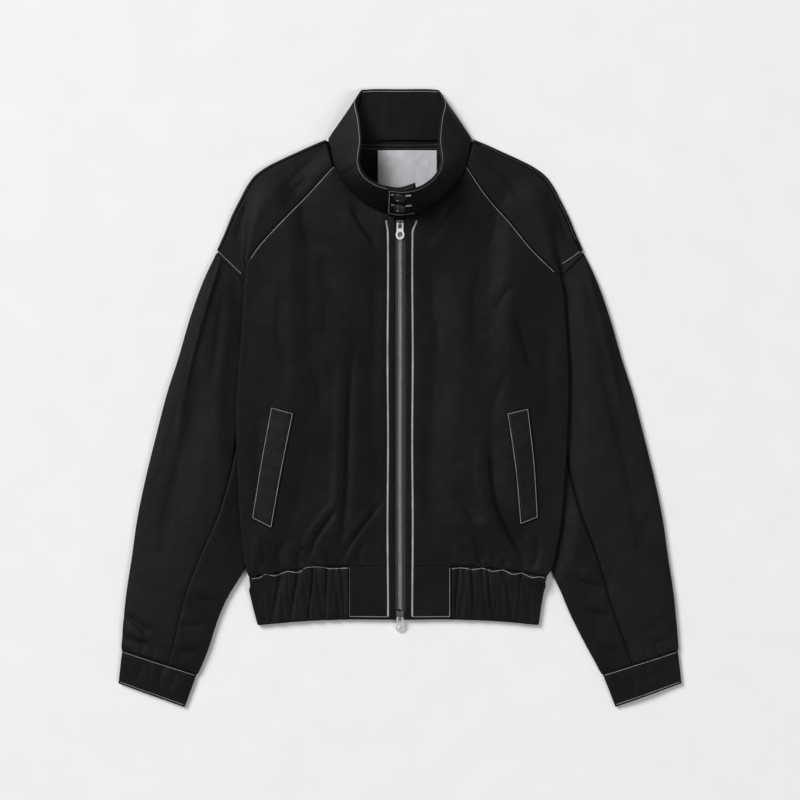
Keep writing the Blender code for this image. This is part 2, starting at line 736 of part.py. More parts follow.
# ---------------------------------------------------------------- the whole jacket
def build_all():
    clear_scene()
    twill = make_material("black twill", (0.013, 0.013, 0.014), 0.85)
    tape = make_material("zip tape", (0.02, 0.02, 0.022), 0.6)
    nickel = make_material("nickel", (0.62, 0.61, 0.59), 0.3, 1.0)
    plastic = make_material("black resin", (0.01, 0.01, 0.01), 0.35)
    satin = make_material("label satin", (0.6, 0.6, 0.6), 0.5)
    build_back(twill)
    for side in SIDES:
        front = build_front(side, twill)
        build_shoulder(side, twill)
        build_sleeve(side, twill)
        build_cuff(side, twill)
        build_hem_tab(side, twill)
        build_welt(side, front, twill)
        build_tape(side, tape)
    build_hem_band(twill)
    build_collar(twill)
    build_label(satin)
    for name, share in BUTTON_SHARES.items():
        build_button("collar_button_" + name, share, plastic)
    build_teeth(nickel)
    for which in PIVOTS:
        build_slider(which, nickel)
        build_pull_tab(which, nickel)


build_all()
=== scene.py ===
import math
from collections import namedtuple

import bmesh
import bpy
import numpy as np
from mathutils import Matrix, Vector
from mathutils.bvhtree import BVHTree


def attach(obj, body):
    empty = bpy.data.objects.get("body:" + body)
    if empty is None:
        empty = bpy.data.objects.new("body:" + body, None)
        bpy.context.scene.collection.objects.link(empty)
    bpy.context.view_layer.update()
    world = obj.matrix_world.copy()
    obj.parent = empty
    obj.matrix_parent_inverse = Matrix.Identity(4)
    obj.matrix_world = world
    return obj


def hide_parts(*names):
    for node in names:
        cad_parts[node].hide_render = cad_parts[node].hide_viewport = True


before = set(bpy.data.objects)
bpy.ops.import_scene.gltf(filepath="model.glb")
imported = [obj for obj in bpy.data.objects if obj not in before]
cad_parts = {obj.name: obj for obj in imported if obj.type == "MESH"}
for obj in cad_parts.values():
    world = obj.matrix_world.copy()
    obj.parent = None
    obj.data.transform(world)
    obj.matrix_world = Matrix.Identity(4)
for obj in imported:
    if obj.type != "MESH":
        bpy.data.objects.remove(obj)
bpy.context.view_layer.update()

# A harrington jacket laid flat on its back, front zipped and collar buttoned. The zip runs
# along Y at X = 0, the collar points to +Y, and the wearer's right side is at -X. Lengths in
# the tables are millimetres; meshes are in metres.
MM = 0.001
SIDES = {"right": -1.0, "left": 1.0}

# ------------------------------------------------------------------ sizes
CLOTH = 1.1
COLLAR_CLOTH = 2.6
CUFF_CLOTH = 1.7
WELT_CLOTH = 0.9
LIMB_TOP = 4.2
FRONT_TOP = 5.0
SLEEVE_RISE = 6.0
NECK_RISE = 8.0
UNDER_RISE = 6.9
NECK_Y = 305.0
ARMPIT = (150.0, 103.0)
SIDE_SEAM = 133.0
ZIP_EDGE = 7.3
TAB_OUT = 69.5
SIDE_REACH = 3.0
BAND_Y = {"middle": -227.0, "side": -242.0}
GRID = 2.6            # mm between a sheet's points
FINE_GRID = 2.2       # the same on small panels
SIDE_LENGTH = 425     # from the band up to the raglan seam, along a side
RAGLAN_LENGTH = 172
FRONT_WIDTH = 200
SLEEVE_LENGTH = 565
BAND_TALL = 72
CUFF_TALL = 46
COLLAR_TALL = 61
SLEEVE_WIDE = 113
WELT_WIDE = 27
WELT_TALL = 158
FRONT_REST = 3.9      # troughs in the front flatten out below this height
BAND_REST = 4.4       # the same for the band
SETTLE = 1.5          # how far below it they can still reach
INSIDE_SHOULDER = (100, 250)
SEAM_DIP = 0.9        # how far cloth sinks at a seam
LOFT = 7.5            # how far air lifts the front off the back
NECK_TUCK = 1.8       # how far the front's neck edge reaches in under the collar
DROP_LAP = 2.4        # how far the shoulder laps the sleeve

Level = namedtuple("Level", "y out")
Fold = namedtuple("Fold", "y right left")
Place = namedtuple("Place", "out y")
Across = namedtuple("Across", "outer_out outer_y inner_out inner_y")
Station = namedtuple("Station", "base_out base_y base_z rim_out rim_y rim_z")
Corner = namedtuple("Corner", "upper_in upper_out lower_in lower_out")
Crease = namedtuple("Crease", "depth width lean path")

SIDE_FOLD = [
    Fold(185, 207.5, 210), Fold(142, 211, 221), Fold(100, 213, 224), Fold(37, 218, 228),
    Fold(-30, 221, 227), Fold(-105, 219, 223), Fold(-195, 213, 213), Fold(-231, 207.5, 203.5),
    Fold(-243, 203, 197), Fold(-272, 199.5, 191), Fold(-306, 191, 186),
]
SLEEVE_INNER = [
    Level(110, 150), Level(60, 148), Level(10, 150), Level(-45, 153), Level(-85, 157),
    Level(-135, 165), Level(-185, 180), Level(-215, 192), Level(-245, 194), Level(-264, 216),
    Level(-303, 246),
]
HEM_LOW = [Place(0, -299), Place(70, -298.5), Place(127, -300.5), Place(190, -306)]
RAGLAN = {
    "right": [Place(191, 204), Place(160, 238), Place(122, 277), Place(90, 312)],
    "left": [Place(178, 200), Place(147, 238), Place(114, 276), Place(90, 312)],
}
RAGLAN_FOOT = {"right": 185.0, "left": 167.0}
NECK_FRONT = [
    Place(ZIP_EDGE, 244.3), Place(20, 247), Place(46, 259), Place(67, 277), Place(81, 294),
    Place(90, 312),
]
SHOULDER = [
    Place(100, 348.5), Place(116, 342), Place(138, 332), Place(162, 321), Place(182, 310.5),
    Place(197, 299), Place(204.5, 289), Place(216.5, 267), Place(227, 246), Place(236, 224),
    Place(247, 199),
]
SLEEVE = [
    Across(247.5, 196, 150, 103), Across(262, 164, 148, 60), Across(281, 112, 149, 10),
    Across(299, 51, 153, -45), Across(312, 11, 157, -85), Across(328, -50, 165, -135),
    Across(343, -111, 180, -185), Across(354, -165, 206, -232), Across(361, -215, 229, -268),
    Across(368.5, -265, 246, -303), Across(372.5, -305, 260, -342),
    Across(375.5, -339, 272.5, -372),
]
CUFF = [Across(375.8, -339.6, 272.8, -372.6), Across(381, -384, 289, -417)]
WELT_BOW = {"right": 1.0, "left": 2.0}
# How far each forearm's inner edge stands off the table's: out, middle and reach along Y
FOREARM = {"right": (4.0, -250.0, 60.0), "left": (-10.8, -292.0, 50.0)}
FRONT_SEAM_SHARE = 0.61
BACK_SEAM_SHARE = 0.45
COLLAR = [
    Station(0, 246.5, 15.0, 0, 275.5, 69), Station(20, 249.5, 15.0, 18, 277.5, 68.5),
    Station(44.5, 261.4, 14.8, 35.5, 284.5, 67), Station(65.3, 278.7, 14.6, 49, 297.5, 63),
    Station(79, 295, 14.0, 54, 312, 55), Station(88, 313, 12.8, 51.5, 343, 42),
    Station(92.3, 335, 9.5, 54, 373, 28), Station(94.2, 350.5, 4.6, 58, 402, 12),
    Station(86, 350.5, 3.0, 52, 413.5, 4.6), Station(60, 348.2, 2.7, 46, 415.8, 2.6),
    Station(0, 348.0, 2.7, 0, 416.4, 2.2),
]
WELT = {
    "right": Corner(Place(142, -20), Place(174, -11), Place(172, -176), Place(200, -162)),
    "left": Corner(Place(143, -20), Place(173, -13), Place(161, -171), Place(186, -161)),
}


# ------------------------------------------------------------------ arithmetic
def smooth(value, low, high):
    """A value's rise from 0 at low to 1 at high."""
    share = np.clip((np.asarray(value, dtype=float) - low) / (high - low), 0.0, 1.0)
    return share * share * (3 - 2 * share)


def mix(start, end, share):
    return start + (end - start) * share


def cubic(values, slopes, spot, t, run):
    """A smooth curve through values: at share t of the step after each spot."""
    return ((2 * t**3 - 3 * t**2 + 1) * values[spot] + (t**3 - 2 * t**2 + t) * run * slopes[spot]
            + (3 * t**2 - 2 * t**3) * values[spot + 1] + (t**3 - t**2) * run * slopes[spot + 1])


def even(points, count):
    """Places at even steps along a smooth line through a few points."""
    line = np.array([tuple(point) for point in points], dtype=float)
    steps = np.linalg.norm(np.diff(line, axis=0), axis=1)
    along = np.concatenate(([0.0], np.cumsum(steps)))
    slopes = np.gradient(line, along, axis=0) if len(line) > 2 else np.repeat(
        (line[-1:] - line[:1]) / along[-1], 2, axis=0)
    at = np.linspace(0.0, 1.0, count) * along[-1]
    spot = np.clip(np.searchsorted(along, at, side="right") - 1, 0, len(steps) - 1)
    t = (at - along[spot]) / steps[spot]
    return cubic(line, slopes, spot, t[:, None], steps[spot][:, None])


def read(table, key, at, column):
    """A column of a table as a smooth function of another of its columns."""
    rows = sorted(table, key=lambda row: getattr(row, key))
    places = np.array([getattr(row, key) for row in rows], dtype=float)
    values = np.array([getattr(row, column) for row in rows], dtype=float)
    slopes = np.gradient(values, places)
    at = np.clip(np.asarray(at, dtype=float), places[0], places[-1])
    spot = np.clip(np.searchsorted(places, at, side="right") - 1, 0, len(places) - 2)
    run = places[spot + 1] - places[spot]
    return cubic(values, slopes, spot, (at - places[spot]) / run, run)


def patch_between(low, high, start, end):
    """A plan stretched between four lines that share their corners: rows of (out, y)."""
    u = np.linspace(0.0, 1.0, len(low))[None, :, None]
    v = np.linspace(0.0, 1.0, len(start))[:, None, None]
    low, high = np.asarray(low)[None], np.asarray(high)[None]
    start, end = np.asarray(start)[:, None], np.asarray(end)[:, None]
    ruled = mix(low, high, v) + mix(start, end, u)
    return ruled - mix(mix(low[:, :1], low[:, -1:], u), mix(high[:, :1], high[:, -1:], u), v)


def side_shift(line, distance, towards):
    """A plan line moved sideways to the side that a point is on."""
    along = np.gradient(line, axis=0)
    across = np.stack((-along[:, 1], along[:, 0]), axis=1)
    across /= np.linalg.norm(across, axis=1)[:, None]
    sign = np.sign(np.sum(across * (np.asarray(towards) - line), axis=1))[:, None]
    return line + across * sign * distance, -across * sign


def on_side(line, side):
    """A plan line given for the wearer's left side, on either side."""
    return np.asarray(line, dtype=float) * (SIDES[side], 1.0)


def sleeve_inner(y):
    """How far out a sleeve's inner edge lies."""
    return read(SLEEVE_INNER, "y", y, "out")


def fold_out(y, side):
    """How far out the fold at the body's side lies."""
    return read(SIDE_FOLD, "y", y, side)


def band_top(out):
    """The band's upper edge: level over the hem tabs, then lower."""
    share = np.maximum(0.0, (np.asarray(out, dtype=float) - TAB_OUT) / (202 - TAB_OUT))
    return mix(BAND_Y["middle"], BAND_Y["side"], share * share)


def hem_low(out):
    """The lowest edge of the hem."""
    return read(HEM_LOW, "out", out, "y")


def top_height(out, y):
    """Under face of the body's upper layer, before its creases."""
    inner = sleeve_inner(y)
    over_sleeve = SLEEVE_RISE * smooth(out - inner, -32, 2)
    from_neck = np.hypot(out, y - NECK_Y)
    at_neck = NECK_RISE * (1 - smooth(from_neck, 88, 165)) * (1 - 0.7 * smooth(y, 290, 350))
    return FRONT_TOP + np.maximum(over_sleeve, at_neck)


def under_height(out, y):
    """Where the front's turned-under part lies: it rises over a sleeve."""
    inner = sleeve_inner(y)
    return CLOTH + UNDER_RISE * smooth(out - inner, -14, -1)


# ------------------------------------------------------------------ creases
# Depth is a trough's, or a ridge's when negative. Each is steep on the side that faces
# HIGH_SIDE, where the cloth is piled up, and runs out softly on the other. Lean is the
# height of that pile, as a share of the depth.
HIGH_SIDE = (-0.8, 0.6)
CREASE_STRENGTH = 1.3    # by which all the depths below are made stronger
PATH_STEPS = 28          # points along a curved crease
BODY_CREASES = [
    Crease(3.6, 4.2, 0.5, [(-62, 96), (-68, 30), (-71, -43), (-74, -133), (-80, -190),
                           (-86, -236)]),
    Crease(3.0, 2.4, 0.5, [(-8, -118), (-34, -150), (-60, -184), (-86, -228)]),
    Crease(3.2, 2.8, 0.5, [(-76, -138), (-96, -162), (-116, -192), (-128, -230)]),
    Crease(2.2, 4.0, 0.4, [(-152, -184), (-166, -206), (-172, -232)]),
    Crease(2.3, 3.6, 0.5, [(-50, -190), (-56, -208), (-58, -226)]),
    Crease(4.2, 5.6, 0.5, [(118, -30), (122, -80), (128, -134), (144, -174), (160, -206),
                           (166, -238)]),
    Crease(2.0, 9.0, 0.3, [(64, -122), (88, -146), (106, -176)]),
    Crease(2.9, 4.0, 0.5, [(96, -176), (104, -204), (108, -230)]),
    Crease(2.5, 4.0, 0.5, [(182, -176), (184, -204), (180, -232)]),
    Crease(2.2, 3.4, 0.5, [(136, -196), (142, -214), (140, -232)]),
    Crease(1.0, 3.0, 0.4, [(50, 108), (49, 84), (53, 58)]),
    Crease(2.4, 17.0, 0.0, [(38, 238), (46, 120), (46, 0), (42, -120), (46, -226)]),
    Crease(1.6, 12.0, 0.0, [(-36, 236), (-34, 120), (-37, 0), (-33, -120), (-38, -226)]),
    Crease(2.4, 6.0, 0.4, [(150, 124), (164, 78), (180, 30)]),
    Crease(2.2, 5.5, 0.5, [(-70, 268), (-54, 236), (-24, 196)]),
    Crease(1.8, 5.0, 0.5, [(68, 262), (50, 230), (24, 204)]),
    Crease(1.6, 12.0, 0.2, [(-158, 168), (-162, 90), (-150, 10)]),
    Crease(1.4, 11.0, 0.3, [(-112, 200), (-100, 140), (-98, 70)]),
    Crease(1.4, 12.0, 0.3, [(112, 190), (100, 130), (102, 50)]),
    Crease(1.6, 10.0, 0.3, [(192, 96), (198, 20), (192, -60)]),
    Crease(1.6, 9.0, 0.3, [(-186, 0), (-194, -90), (-190, -190)]),
    Crease(2.2, 3.4, 0.5, [(-128, -196), (-138, -212), (-136, -232)]),
    Crease(1.9, 3.0, 0.5, [(-104, -204), (-98, -218), (-100, -234)]),
    Crease(2.3, 3.8, 0.5, [(-190, -186), (-184, -208), (-188, -232)]),
    Crease(2.0, 3.2, 0.5, [(78, -194), (86, -210), (84, -230)]),
    Crease(2.0, 3.4, 0.5, [(120, -200), (126, -216), (122, -234)]),
    Crease(1.2, 6.0, 0.4, [(-130, 60), (-112, 20), (-108, -30)]),
    Crease(1.2, 6.0, 0.4, [(146, 40), (128, 0), (120, -40)]),
    Crease(1.0, 4.5, 0.4, [(-100, 150), (-86, 128), (-66, 118)]),
    Crease(1.0, 4.5, 0.4, [(160, 160), (140, 140), (126, 112)]),
    Crease(1.1, 7.0, 0.4, [(-140, 236), (-118, 210), (-88, 196)]),
    Crease(1.0, 7.0, 0.4, [(134, 240), (112, 214), (84, 200)]),
]
SHOULDER_CREASES = [
    Crease(1.2, 8.0, 0.4, [(-104, 330), (-140, 300), (-168, 262)]),
    Crease(1.1, 8.0, 0.4, [(106, 328), (142, 296), (172, 258)]),
    Crease(0.9, 5.0, 0.4, [(-120, 300), (-146, 276), (-158, 250)]),
    Crease(1.4, 6.0, 0.5, [(-206, 268), (-214, 238), (-222, 206)]),
    Crease(1.2, 6.0, 0.5, [(208, 270), (217, 238), (226, 208)]),
]
SLEEVE_CREASES = [
    Crease(-1.3, 6.0, 0.0, [(-278, 60), (-294, -20), (-304, -80)]),
    Crease(2.6, 15.0, 0.3, [(-222, 96), (-228, 30), (-236, -40)]),
    Crease(1.8, 14.0, 0.4, [(-262, 60), (-292, -70), (-314, -170), (-322, -250)]),
    Crease(1.4, 7.0, 0.5, [(-238, 150), (-246, 80), (-256, 10)]),
    Crease(1.2, 9.0, 0.5, [(-196, -150), (-224, -176), (-250, -186)]),
    Crease(1.6, 5.0, 0.6, [(-238, -268), (-256, -272), (-284, -262)]),
    Crease(1.3, 4.0, 0.6, [(-256, -300), (-276, -306), (-300, -302)]),
    Crease(1.9, 4.5, 0.6, [(-374, -292), (-356, -304), (-336, -322)]),
    Crease(1.5, 4.0, 0.6, [(-376, -318), (-358, -326), (-334, -332)]),
    Crease(1.6, 4.0, 0.5, [(-266, -346), (-282, -340), (-306, -344)]),
    Crease(1.5, 13.0, 0.4, [(264, 70), (296, -50), (318, -160), (328, -240)]),
    Crease(-1.0, 3.0, 0.0, [(252, 176), (268, 110), (284, 40), (300, -30)]),
    Crease(1.6, 9.0, 0.4, [(236, 120), (244, 40), (252, -40)]),
    Crease(2.2, 5.5, 0.6, [(228, -236), (250, -250), (288, -252)]),
    Crease(1.5, 5.0, 0.5, [(244, -282), (264, -290), (292, -286)]),
    Crease(1.8, 4.5, 0.6, [(262, -334), (284, -338), (312, -330)]),
    Crease(1.5, 5.0, 0.5, [(374, -286), (352, -298), (328, -304)]),
    Crease(1.6, 4.0, 0.6, [(377, -316), (356, -326), (330, -330)]),
    Crease(1.2, 10.0, 0.4, [(350, -140), (330, -170), (318, -210)]),
]
OVERARM = [
    Crease(-4.4, 2.3, 0.0, [(-236, 222), (-245, 180), (-262, 122), (-278, 64), (-292, 4),
                            (-300, -40)]),
    Crease(-1.4, 5.0, 0.0, [(240, 226), (258, 150), (276, 74), (292, 4)]),
]
CUFF_CREASES = [
    Crease(1.5, 3.0, 0.5, [(-318, -356), (-324, -374), (-321, -392)]),
    Crease(1.3, 3.4, 0.5, [(-300, -364), (-306, -380), (-316, -394)]),
    Crease(1.2, 3.0, 0.4, [(-352, -350), (-350, -364), (-356, -380)]),
    Crease(1.3, 3.2, 0.5, [(298, -368), (310, -380), (314, -402)]),
    Crease(1.3, 3.0, 0.5, [(334, -354), (330, -370), (338, -386)]),
    Crease(1.1, 3.4, 0.4, [(360, -346), (356, -362), (364, -378)]),
]
BACK_CREASES = [
    Crease(2.2, 9.0, 0.0, [(-60, 240), (-20, 160), (10, 60)]),
    Crease(1.8, 10.0, 0.0, [(96, 250), (70, 150), (76, 20)]),
    Crease(2.4, 8.0, 0.0, [(-104, 60), (-92, -60), (-96, -180)]),
    Crease(2.0, 9.0, 0.0, [(30, -60), (38, -140), (30, -220)]),
    Crease(1.8, 9.0, 0.0, [(-150, 250), (-176, 216), (-190, 176)]),
    Crease(1.6, 8.0, 0.0, [(160, 256), (184, 214), (196, 180)]),
    Crease(1.6, 10.0, 0.0, [(-30, 0), (-44, -90), (-36, -170)]),
]
# Pleats where a sleeve meets its cuff: place across it, depth and width
CUFF_PLEATS = [(30, 1.1, 2.4), (47, 0.88, 2.2), (84, 0.77, 2.6)]
# Troughs between the gathers, from the zip outwards
GATHERS = {
    "right": (77, 85, 92, 100, 108, 115, 121, 127, 138, 143, 150, 159, 167, 175, 186, 194),
    "left": (76, 84, 90, 97, 106, 113, 121, 131, 137, 145, 152, 161, 170, 176, 187, 195),
}


def relief(x, y, creases, taper=True):
    """Height that creases add at places in plan."""
    x = np.asarray(x, dtype=float)
    y = np.asarray(y, dtype=float)
    total = np.zeros(x.shape)
    for crease in creases:
        path = np.array(crease.path, float)
        if len(path) > 2:
            path = even(path, PATH_STEPS)
        reach = 4.5 * crease.width
        near = ((x > path[:, 0].min() - reach) & (x < path[:, 0].max() + reach)
                & (y > path[:, 1].min() - reach) & (y < path[:, 1].max() + reach))
        if not near.any():
            continue
        px, py = x[near], y[near]
        best = np.full(px.shape, 1e9)
        signed = np.zeros(px.shape)
        share = np.zeros(px.shape)
        for number, (start, finish) in enumerate(zip(path, path[1:])):
            run = finish - start
            length = np.hypot(*run)
            t = np.clip(((px - start[0]) * run[0] + (py - start[1]) * run[1]) / length**2, 0, 1)
            dx = px - start[0] - t * run[0]
            dy = py - start[1] - t * run[1]
            apart = np.hypot(dx, dy)
            closer = apart < best
            best[closer] = apart[closer]
            side = np.sign(run[0] * dy - run[1] * dx)
            signed[closer] = (apart * side)[closer]
            share[closer] = ((number + t) / (len(path) - 1))[closer]
        ends = smooth(share, 0.0, 0.3) * (1 - smooth(share, 0.72, 1.0)) if taper else 1.0
        width = crease.width * (0.75 + 0.4 * share)
        whole = path[-1] - path[0]
        facing = -whole[1] * HIGH_SIDE[0] + whole[0] * HIGH_SIDE[1]
        away = -signed if facing > 0 else signed
        if taper:
            width = np.where(away < 0, 0.6, 1.9) * width
        shape = -np.exp(-(best / width) ** 2)
        shape += crease.lean * np.exp(-((away + 2.6 * crease.width) / (1.6 * crease.width)) ** 2)
        total[near] += (CREASE_STRENGTH if taper else 1.0) * crease.depth * ends * shape
    return total


def swell(x, y, height):
    """Slow rise and fall of cloth that lies loose."""
    return height * (np.sin(x / 31.0 + 0.7 + 0.4 * np.sin(y / 57.0))
                     * np.sin(y / 43.0 + 1.1 + 0.5 * np.sin(x / 71.0)) * 0.6
                     + 0.4 * np.sin(x / 17.0 - y / 39.0 + 2.0))


def gathers(out, y, side, level):
    """Small folds that the hem band draws up; level is 1 at the band and 0 away from it."""
    total = np.zeros(np.shape(out))
    for number, place in enumerate(GATHERS[side]):
        depth = 2.9 + 1.5 * math.sin(2.3 * number + (1.0 if side == "left" else 0.2))
        width = 2.1 + 0.8 * math.sin(1.7 * number + 0.5)
        slant = 0.15 * math.sin(1.9 * number + 0.4)
        middle = place + slant * (y + 268) + 0.5 * np.sin(y / 13.0 + number)
        fade = 0.65 + 0.35 * np.sin(y / 23.0 + 2.1 * number)
        wide = np.where((out - middle) * SIDES[side] < 0, 0.75, 1.5) * width
        total -= depth * fade * np.exp(-((out - middle) / wide) ** 2)
    return level * (total + 1.0)


def settled(z, rest):
    """Heights whose troughs flatten out below rest, before they reach the layer beneath."""
    return np.where(z < rest, rest - SETTLE * (1 - np.exp(-(rest - z) / SETTLE)), z)


def near_band(out, y):
    """How strongly the band's gathers show at a place above it."""
    above = y - band_top(out)
    return np.exp(-np.maximum(above, 0.0) / 13.0) * smooth(out, TAB_OUT, TAB_OUT + 6)


def seam(path, depth=SEAM_DIP, width=2.2):
    """The dip of one seam."""
    return Crease(depth, width, 0.0, [tuple(point) for point in path])


def seams(x, y, *lines):
    """The dips of seams, as deep at their ends as in the middle."""
    return relief(x, y, [seam(*line) for line in lines], taper=False)


# ------------------------------------------------------------------ sheets
def lengths_along(grid, axis):
    """Running lengths of a grid's lines, down it or across it."""
    steps = np.linalg.norm(np.diff(grid, axis=axis), axis=2)
    zero = np.zeros((1, steps.shape[1])) if axis == 0 else np.zeros((steps.shape[0], 1))
    return np.cumsum(np.concatenate((zero, steps), axis=axis), axis=axis)


def sheet_mesh(name, patches, side=1.0, faces_up=True):
    """One welded sheet from grids of points, with its own length and width as a UV map."""
    points, faces, uvs = [], [], []
    start = 0
    for grid in patches:
        grid = np.asarray(grid, dtype=float) * np.array([side, 1.0, 1.0])
        rows, columns = grid.shape[:2]
        u = lengths_along(grid, 1)
        u = (u - u.mean(axis=1)[:, None]) * side
        v = np.repeat(lengths_along(grid, 0).mean(axis=1)[:, None], columns, axis=1)
        index = np.arange(rows * columns).reshape(rows, columns) + start
        quads = np.stack((index[:-1, :-1], index[:-1, 1:], index[1:, 1:], index[1:, :-1]), axis=2)
        faces.append(quads.reshape(-1, 4))
        points.append(grid.reshape(-1, 3))
        uvs.append(np.stack((u, v), axis=2).reshape(-1, 2))
        start += rows * columns
    points, faces, uvs = np.concatenate(points), np.concatenate(faces), np.concatenate(uvs)
    mesh = bpy.data.meshes.new(name)
    mesh.from_pydata((points * MM).tolist(), [], faces.tolist())
    layer = mesh.uv_layers.new(name="cloth")
    layer.data.foreach_set("uv", (uvs[faces.reshape(-1)] * MM).astype(np.float32).reshape(-1))
    bm = bmesh.new()
    bm.from_mesh(mesh)
    bmesh.ops.remove_doubles(bm, verts=bm.verts, dist=0.01 * MM)
    bmesh.ops.recalc_face_normals(bm, faces=bm.faces)
    bm.faces.ensure_lookup_table()
    bm.normal_update()
    if (bm.faces[0].normal.z > 0) != faces_up:
        bmesh.ops.reverse_faces(bm, faces=bm.faces)
    bm.to_mesh(mesh)
    area = sum(face.calc_area() for face in bm.faces)
    bm.free()
    mesh.shade_smooth()
    return mesh, area


SHEETS = {}


def sheet(node, patches, material, thickness=CLOTH, offset=1.0, side=1.0,
          faces_up=True, called=None):
    """A sheet of cloth that shows in place of a node of the frame, given its thickness."""
    name = called or "cloth_" + node
    mesh, area = sheet_mesh(name, patches, side, faces_up)
    item = bpy.data.objects.new(name, mesh)
    bpy.context.scene.collection.objects.link(item)
    wall = item.modifiers.new("wall", "SOLIDIFY")
    wall.thickness = thickness * MM
    wall.offset = offset
    mesh.materials.append(material)
    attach(item, "jacket")
    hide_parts(node)
    SHEETS[name] = item
    return item


def piece(name, points, faces, material):
    """A hard piece or a row of stitches from points in millimetres."""
    mesh = bpy.data.meshes.new(name)
    mesh.from_pydata((np.concatenate(points) * MM).tolist(), [], faces)
    mesh.materials.append(material)
    item = bpy.data.objects.new(name, mesh)
    bpy.context.scene.collection.objects.link(item)
    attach(item, "jacket")
    return item


def steps_for(length, spacing=GRID):
    """How many points a line of some length gets."""
    return max(3, int(round(length / spacing)) + 1)


OUTWARD = np.array([[1.0, 0.0]])


def half_turn(out, y, z_from, z_to, outward=OUTWARD, steps=9):
    """A half turn of cloth at each point of a line: an array of rows by steps by 3."""
    angle = np.linspace(0.0, math.pi, steps)[None, :]
    radius = (np.abs(z_from - z_to) / 2)[:, None]
    middle = ((z_from + z_to) / 2)[:, None]
    reach = radius * np.sin(angle)
    return np.stack((out[:, None] + outward[:, :1] * reach,
                     y[:, None] + outward[:, 1:] * reach,
                     middle + (z_from[:, None] - middle) * np.cos(angle)), axis=2)


def raglan_line(side, count):
    """The raglan seam, from its foot at the side up to the neck."""
    foot = RAGLAN_FOOT[side]
    start = (float(fold_out(foot, side)) - SIDE_REACH, foot)
    return even([start] + RAGLAN[side], count)


def drop_seam_line(count=12):
    """The seam below a shoulder, from its outer end to the armpit."""
    return even([(247, 197), (199, 150), ARMPIT], count)


# ------------------------------------------------------------------ body panels
def front_surface(out, y, side):
    """Under face of a front with its creases, at places in plan."""
    x = out * SIDES[side]
    z = top_height(out, y) + loft(out, y)
    calm = smooth(out, ZIP_EDGE + 10, ZIP_EDGE + 34)
    calm = calm * (1 - smooth(out - fold_out(y, side), -26, -4))
    z = z + swell(x, y, 1.0) * calm
    z = z + relief(x, y, BODY_CREASES) * (0.15 + 0.85 * calm)
    z = z + gathers(out, y, side, near_band(out, y))
    z = z + PUCKERS[side](out, y)
    raglan = on_side(raglan_line(side, 40), side)
    neck = on_side(even(NECK_FRONT, 24), side)
    along = np.linspace(TAB_OUT + 3, 205, 24)
    band = on_side(np.stack((along, band_top(along)), axis=1), side)
    zip_seam = on_side([(16.8, -300), (16.8, 240)], side)
    z = z + seams(x, y, (raglan,), (neck, 1.4, 3.0), (band, 1.6, 3.0), (zip_seam, 0.55, 2.0))
    return settled(z + 0.5 * np.exp(-((out - 24) / 6.0) ** 2), FRONT_REST)


def loft(out, y):
    """How far the front stands off the back where air is trapped between them."""
    across = smooth(out, 18, 88) * (1 - smooth(out, 112, 205))
    return LOFT * across * smooth(y, -236, -166) * (1 - smooth(y, 60, 262))


def puckers(seed):
    """Short, uneven drag lines that the zip's stitching pulls into the front."""
    draw = np.random.default_rng(seed)
    marks = []
    y = -285.0
    while y < 225:
        y += draw.uniform(13, 34)
        marks.append((y, draw.uniform(0.15, 0.45), draw.uniform(2.4, 4.5),
                      draw.uniform(-0.5, 0.5), draw.uniform(9, 20)))

    def height(out, at):
        total = np.zeros(np.shape(out))
        for middle, depth, width, slant, reach in marks:
            fade = np.exp(-((out - 17) / reach) ** 2) * smooth(out, 15, 19)
            total -= depth * fade * np.exp(-((at - middle - slant * (out - 17)) / width) ** 2)
        return total
    return height


PUCKERS = {"right": puckers(11), "left": puckers(23)}


def build_front(side):
    gap = 0.03
    side_steps = steps_for(SIDE_LENGTH)
    foot = RAGLAN_FOOT[side]
    low_side = float(band_top(fold_out(-241, side))) + gap
    side_y = np.linspace(low_side, foot, side_steps)
    side_line = np.stack((fold_out(side_y, side) - SIDE_REACH, side_y), axis=1)
    raglan = raglan_line(side, steps_for(RAGLAN_LENGTH))
    outer = np.concatenate((side_line, raglan[1:]))
    zip_y = np.linspace(BAND_Y["middle"] + gap, NECK_FRONT[0].y, len(outer))
    inner = np.stack((np.full(len(outer), ZIP_EDGE), zip_y), axis=1)
    columns = steps_for(FRONT_WIDTH)
    low_out = np.linspace(ZIP_EDGE, outer[0, 0], columns)
    low = np.stack((low_out, band_top(low_out) + gap), axis=1)
    neck, _ = side_shift(even(NECK_FRONT, columns), NECK_TUCK, (0, NECK_Y))
    neck[0] = inner[-1] + (0, NECK_TUCK)
    neck[-1] = outer[-1]
    inner[-1] = neck[0]
    plan = patch_between(low, neck, inner, outer)
    z = front_surface(plan[..., 0], plan[..., 1], side)
    top = np.dstack((plan, z))
    edge = top[:side_steps, -1]
    out, y, high = edge[:, 0], edge[:, 1], edge[:, 2]
    turned = half_turn(out, y, high, under_height(out, y))
    stop = np.maximum(SIDE_SEAM + smooth(y, 85, 103) * (ARMPIT[0] - SIDE_SEAM),
                      mix(ARMPIT[0], 203, (y - ARMPIT[1]) / (foot - ARMPIT[1])))
    stop = np.minimum(stop, out - 4)
    share = np.linspace(0, 1, 30)[None, :]
    back_out = out[:, None] + (stop - out)[:, None] * share
    fade = (1 - smooth(y, low_side, low_side + 140))[:, None]
    back_y = y[:, None] + (band_top(back_out) - band_top(out)[:, None]) * fade
    under = np.dstack((back_out, back_y, under_height(back_out, back_y)))
    patches = [top, np.concatenate((turned, under[:, 1:]), axis=1)]
    sheet("front_" + side, patches, TWILL, side=SIDES[side])


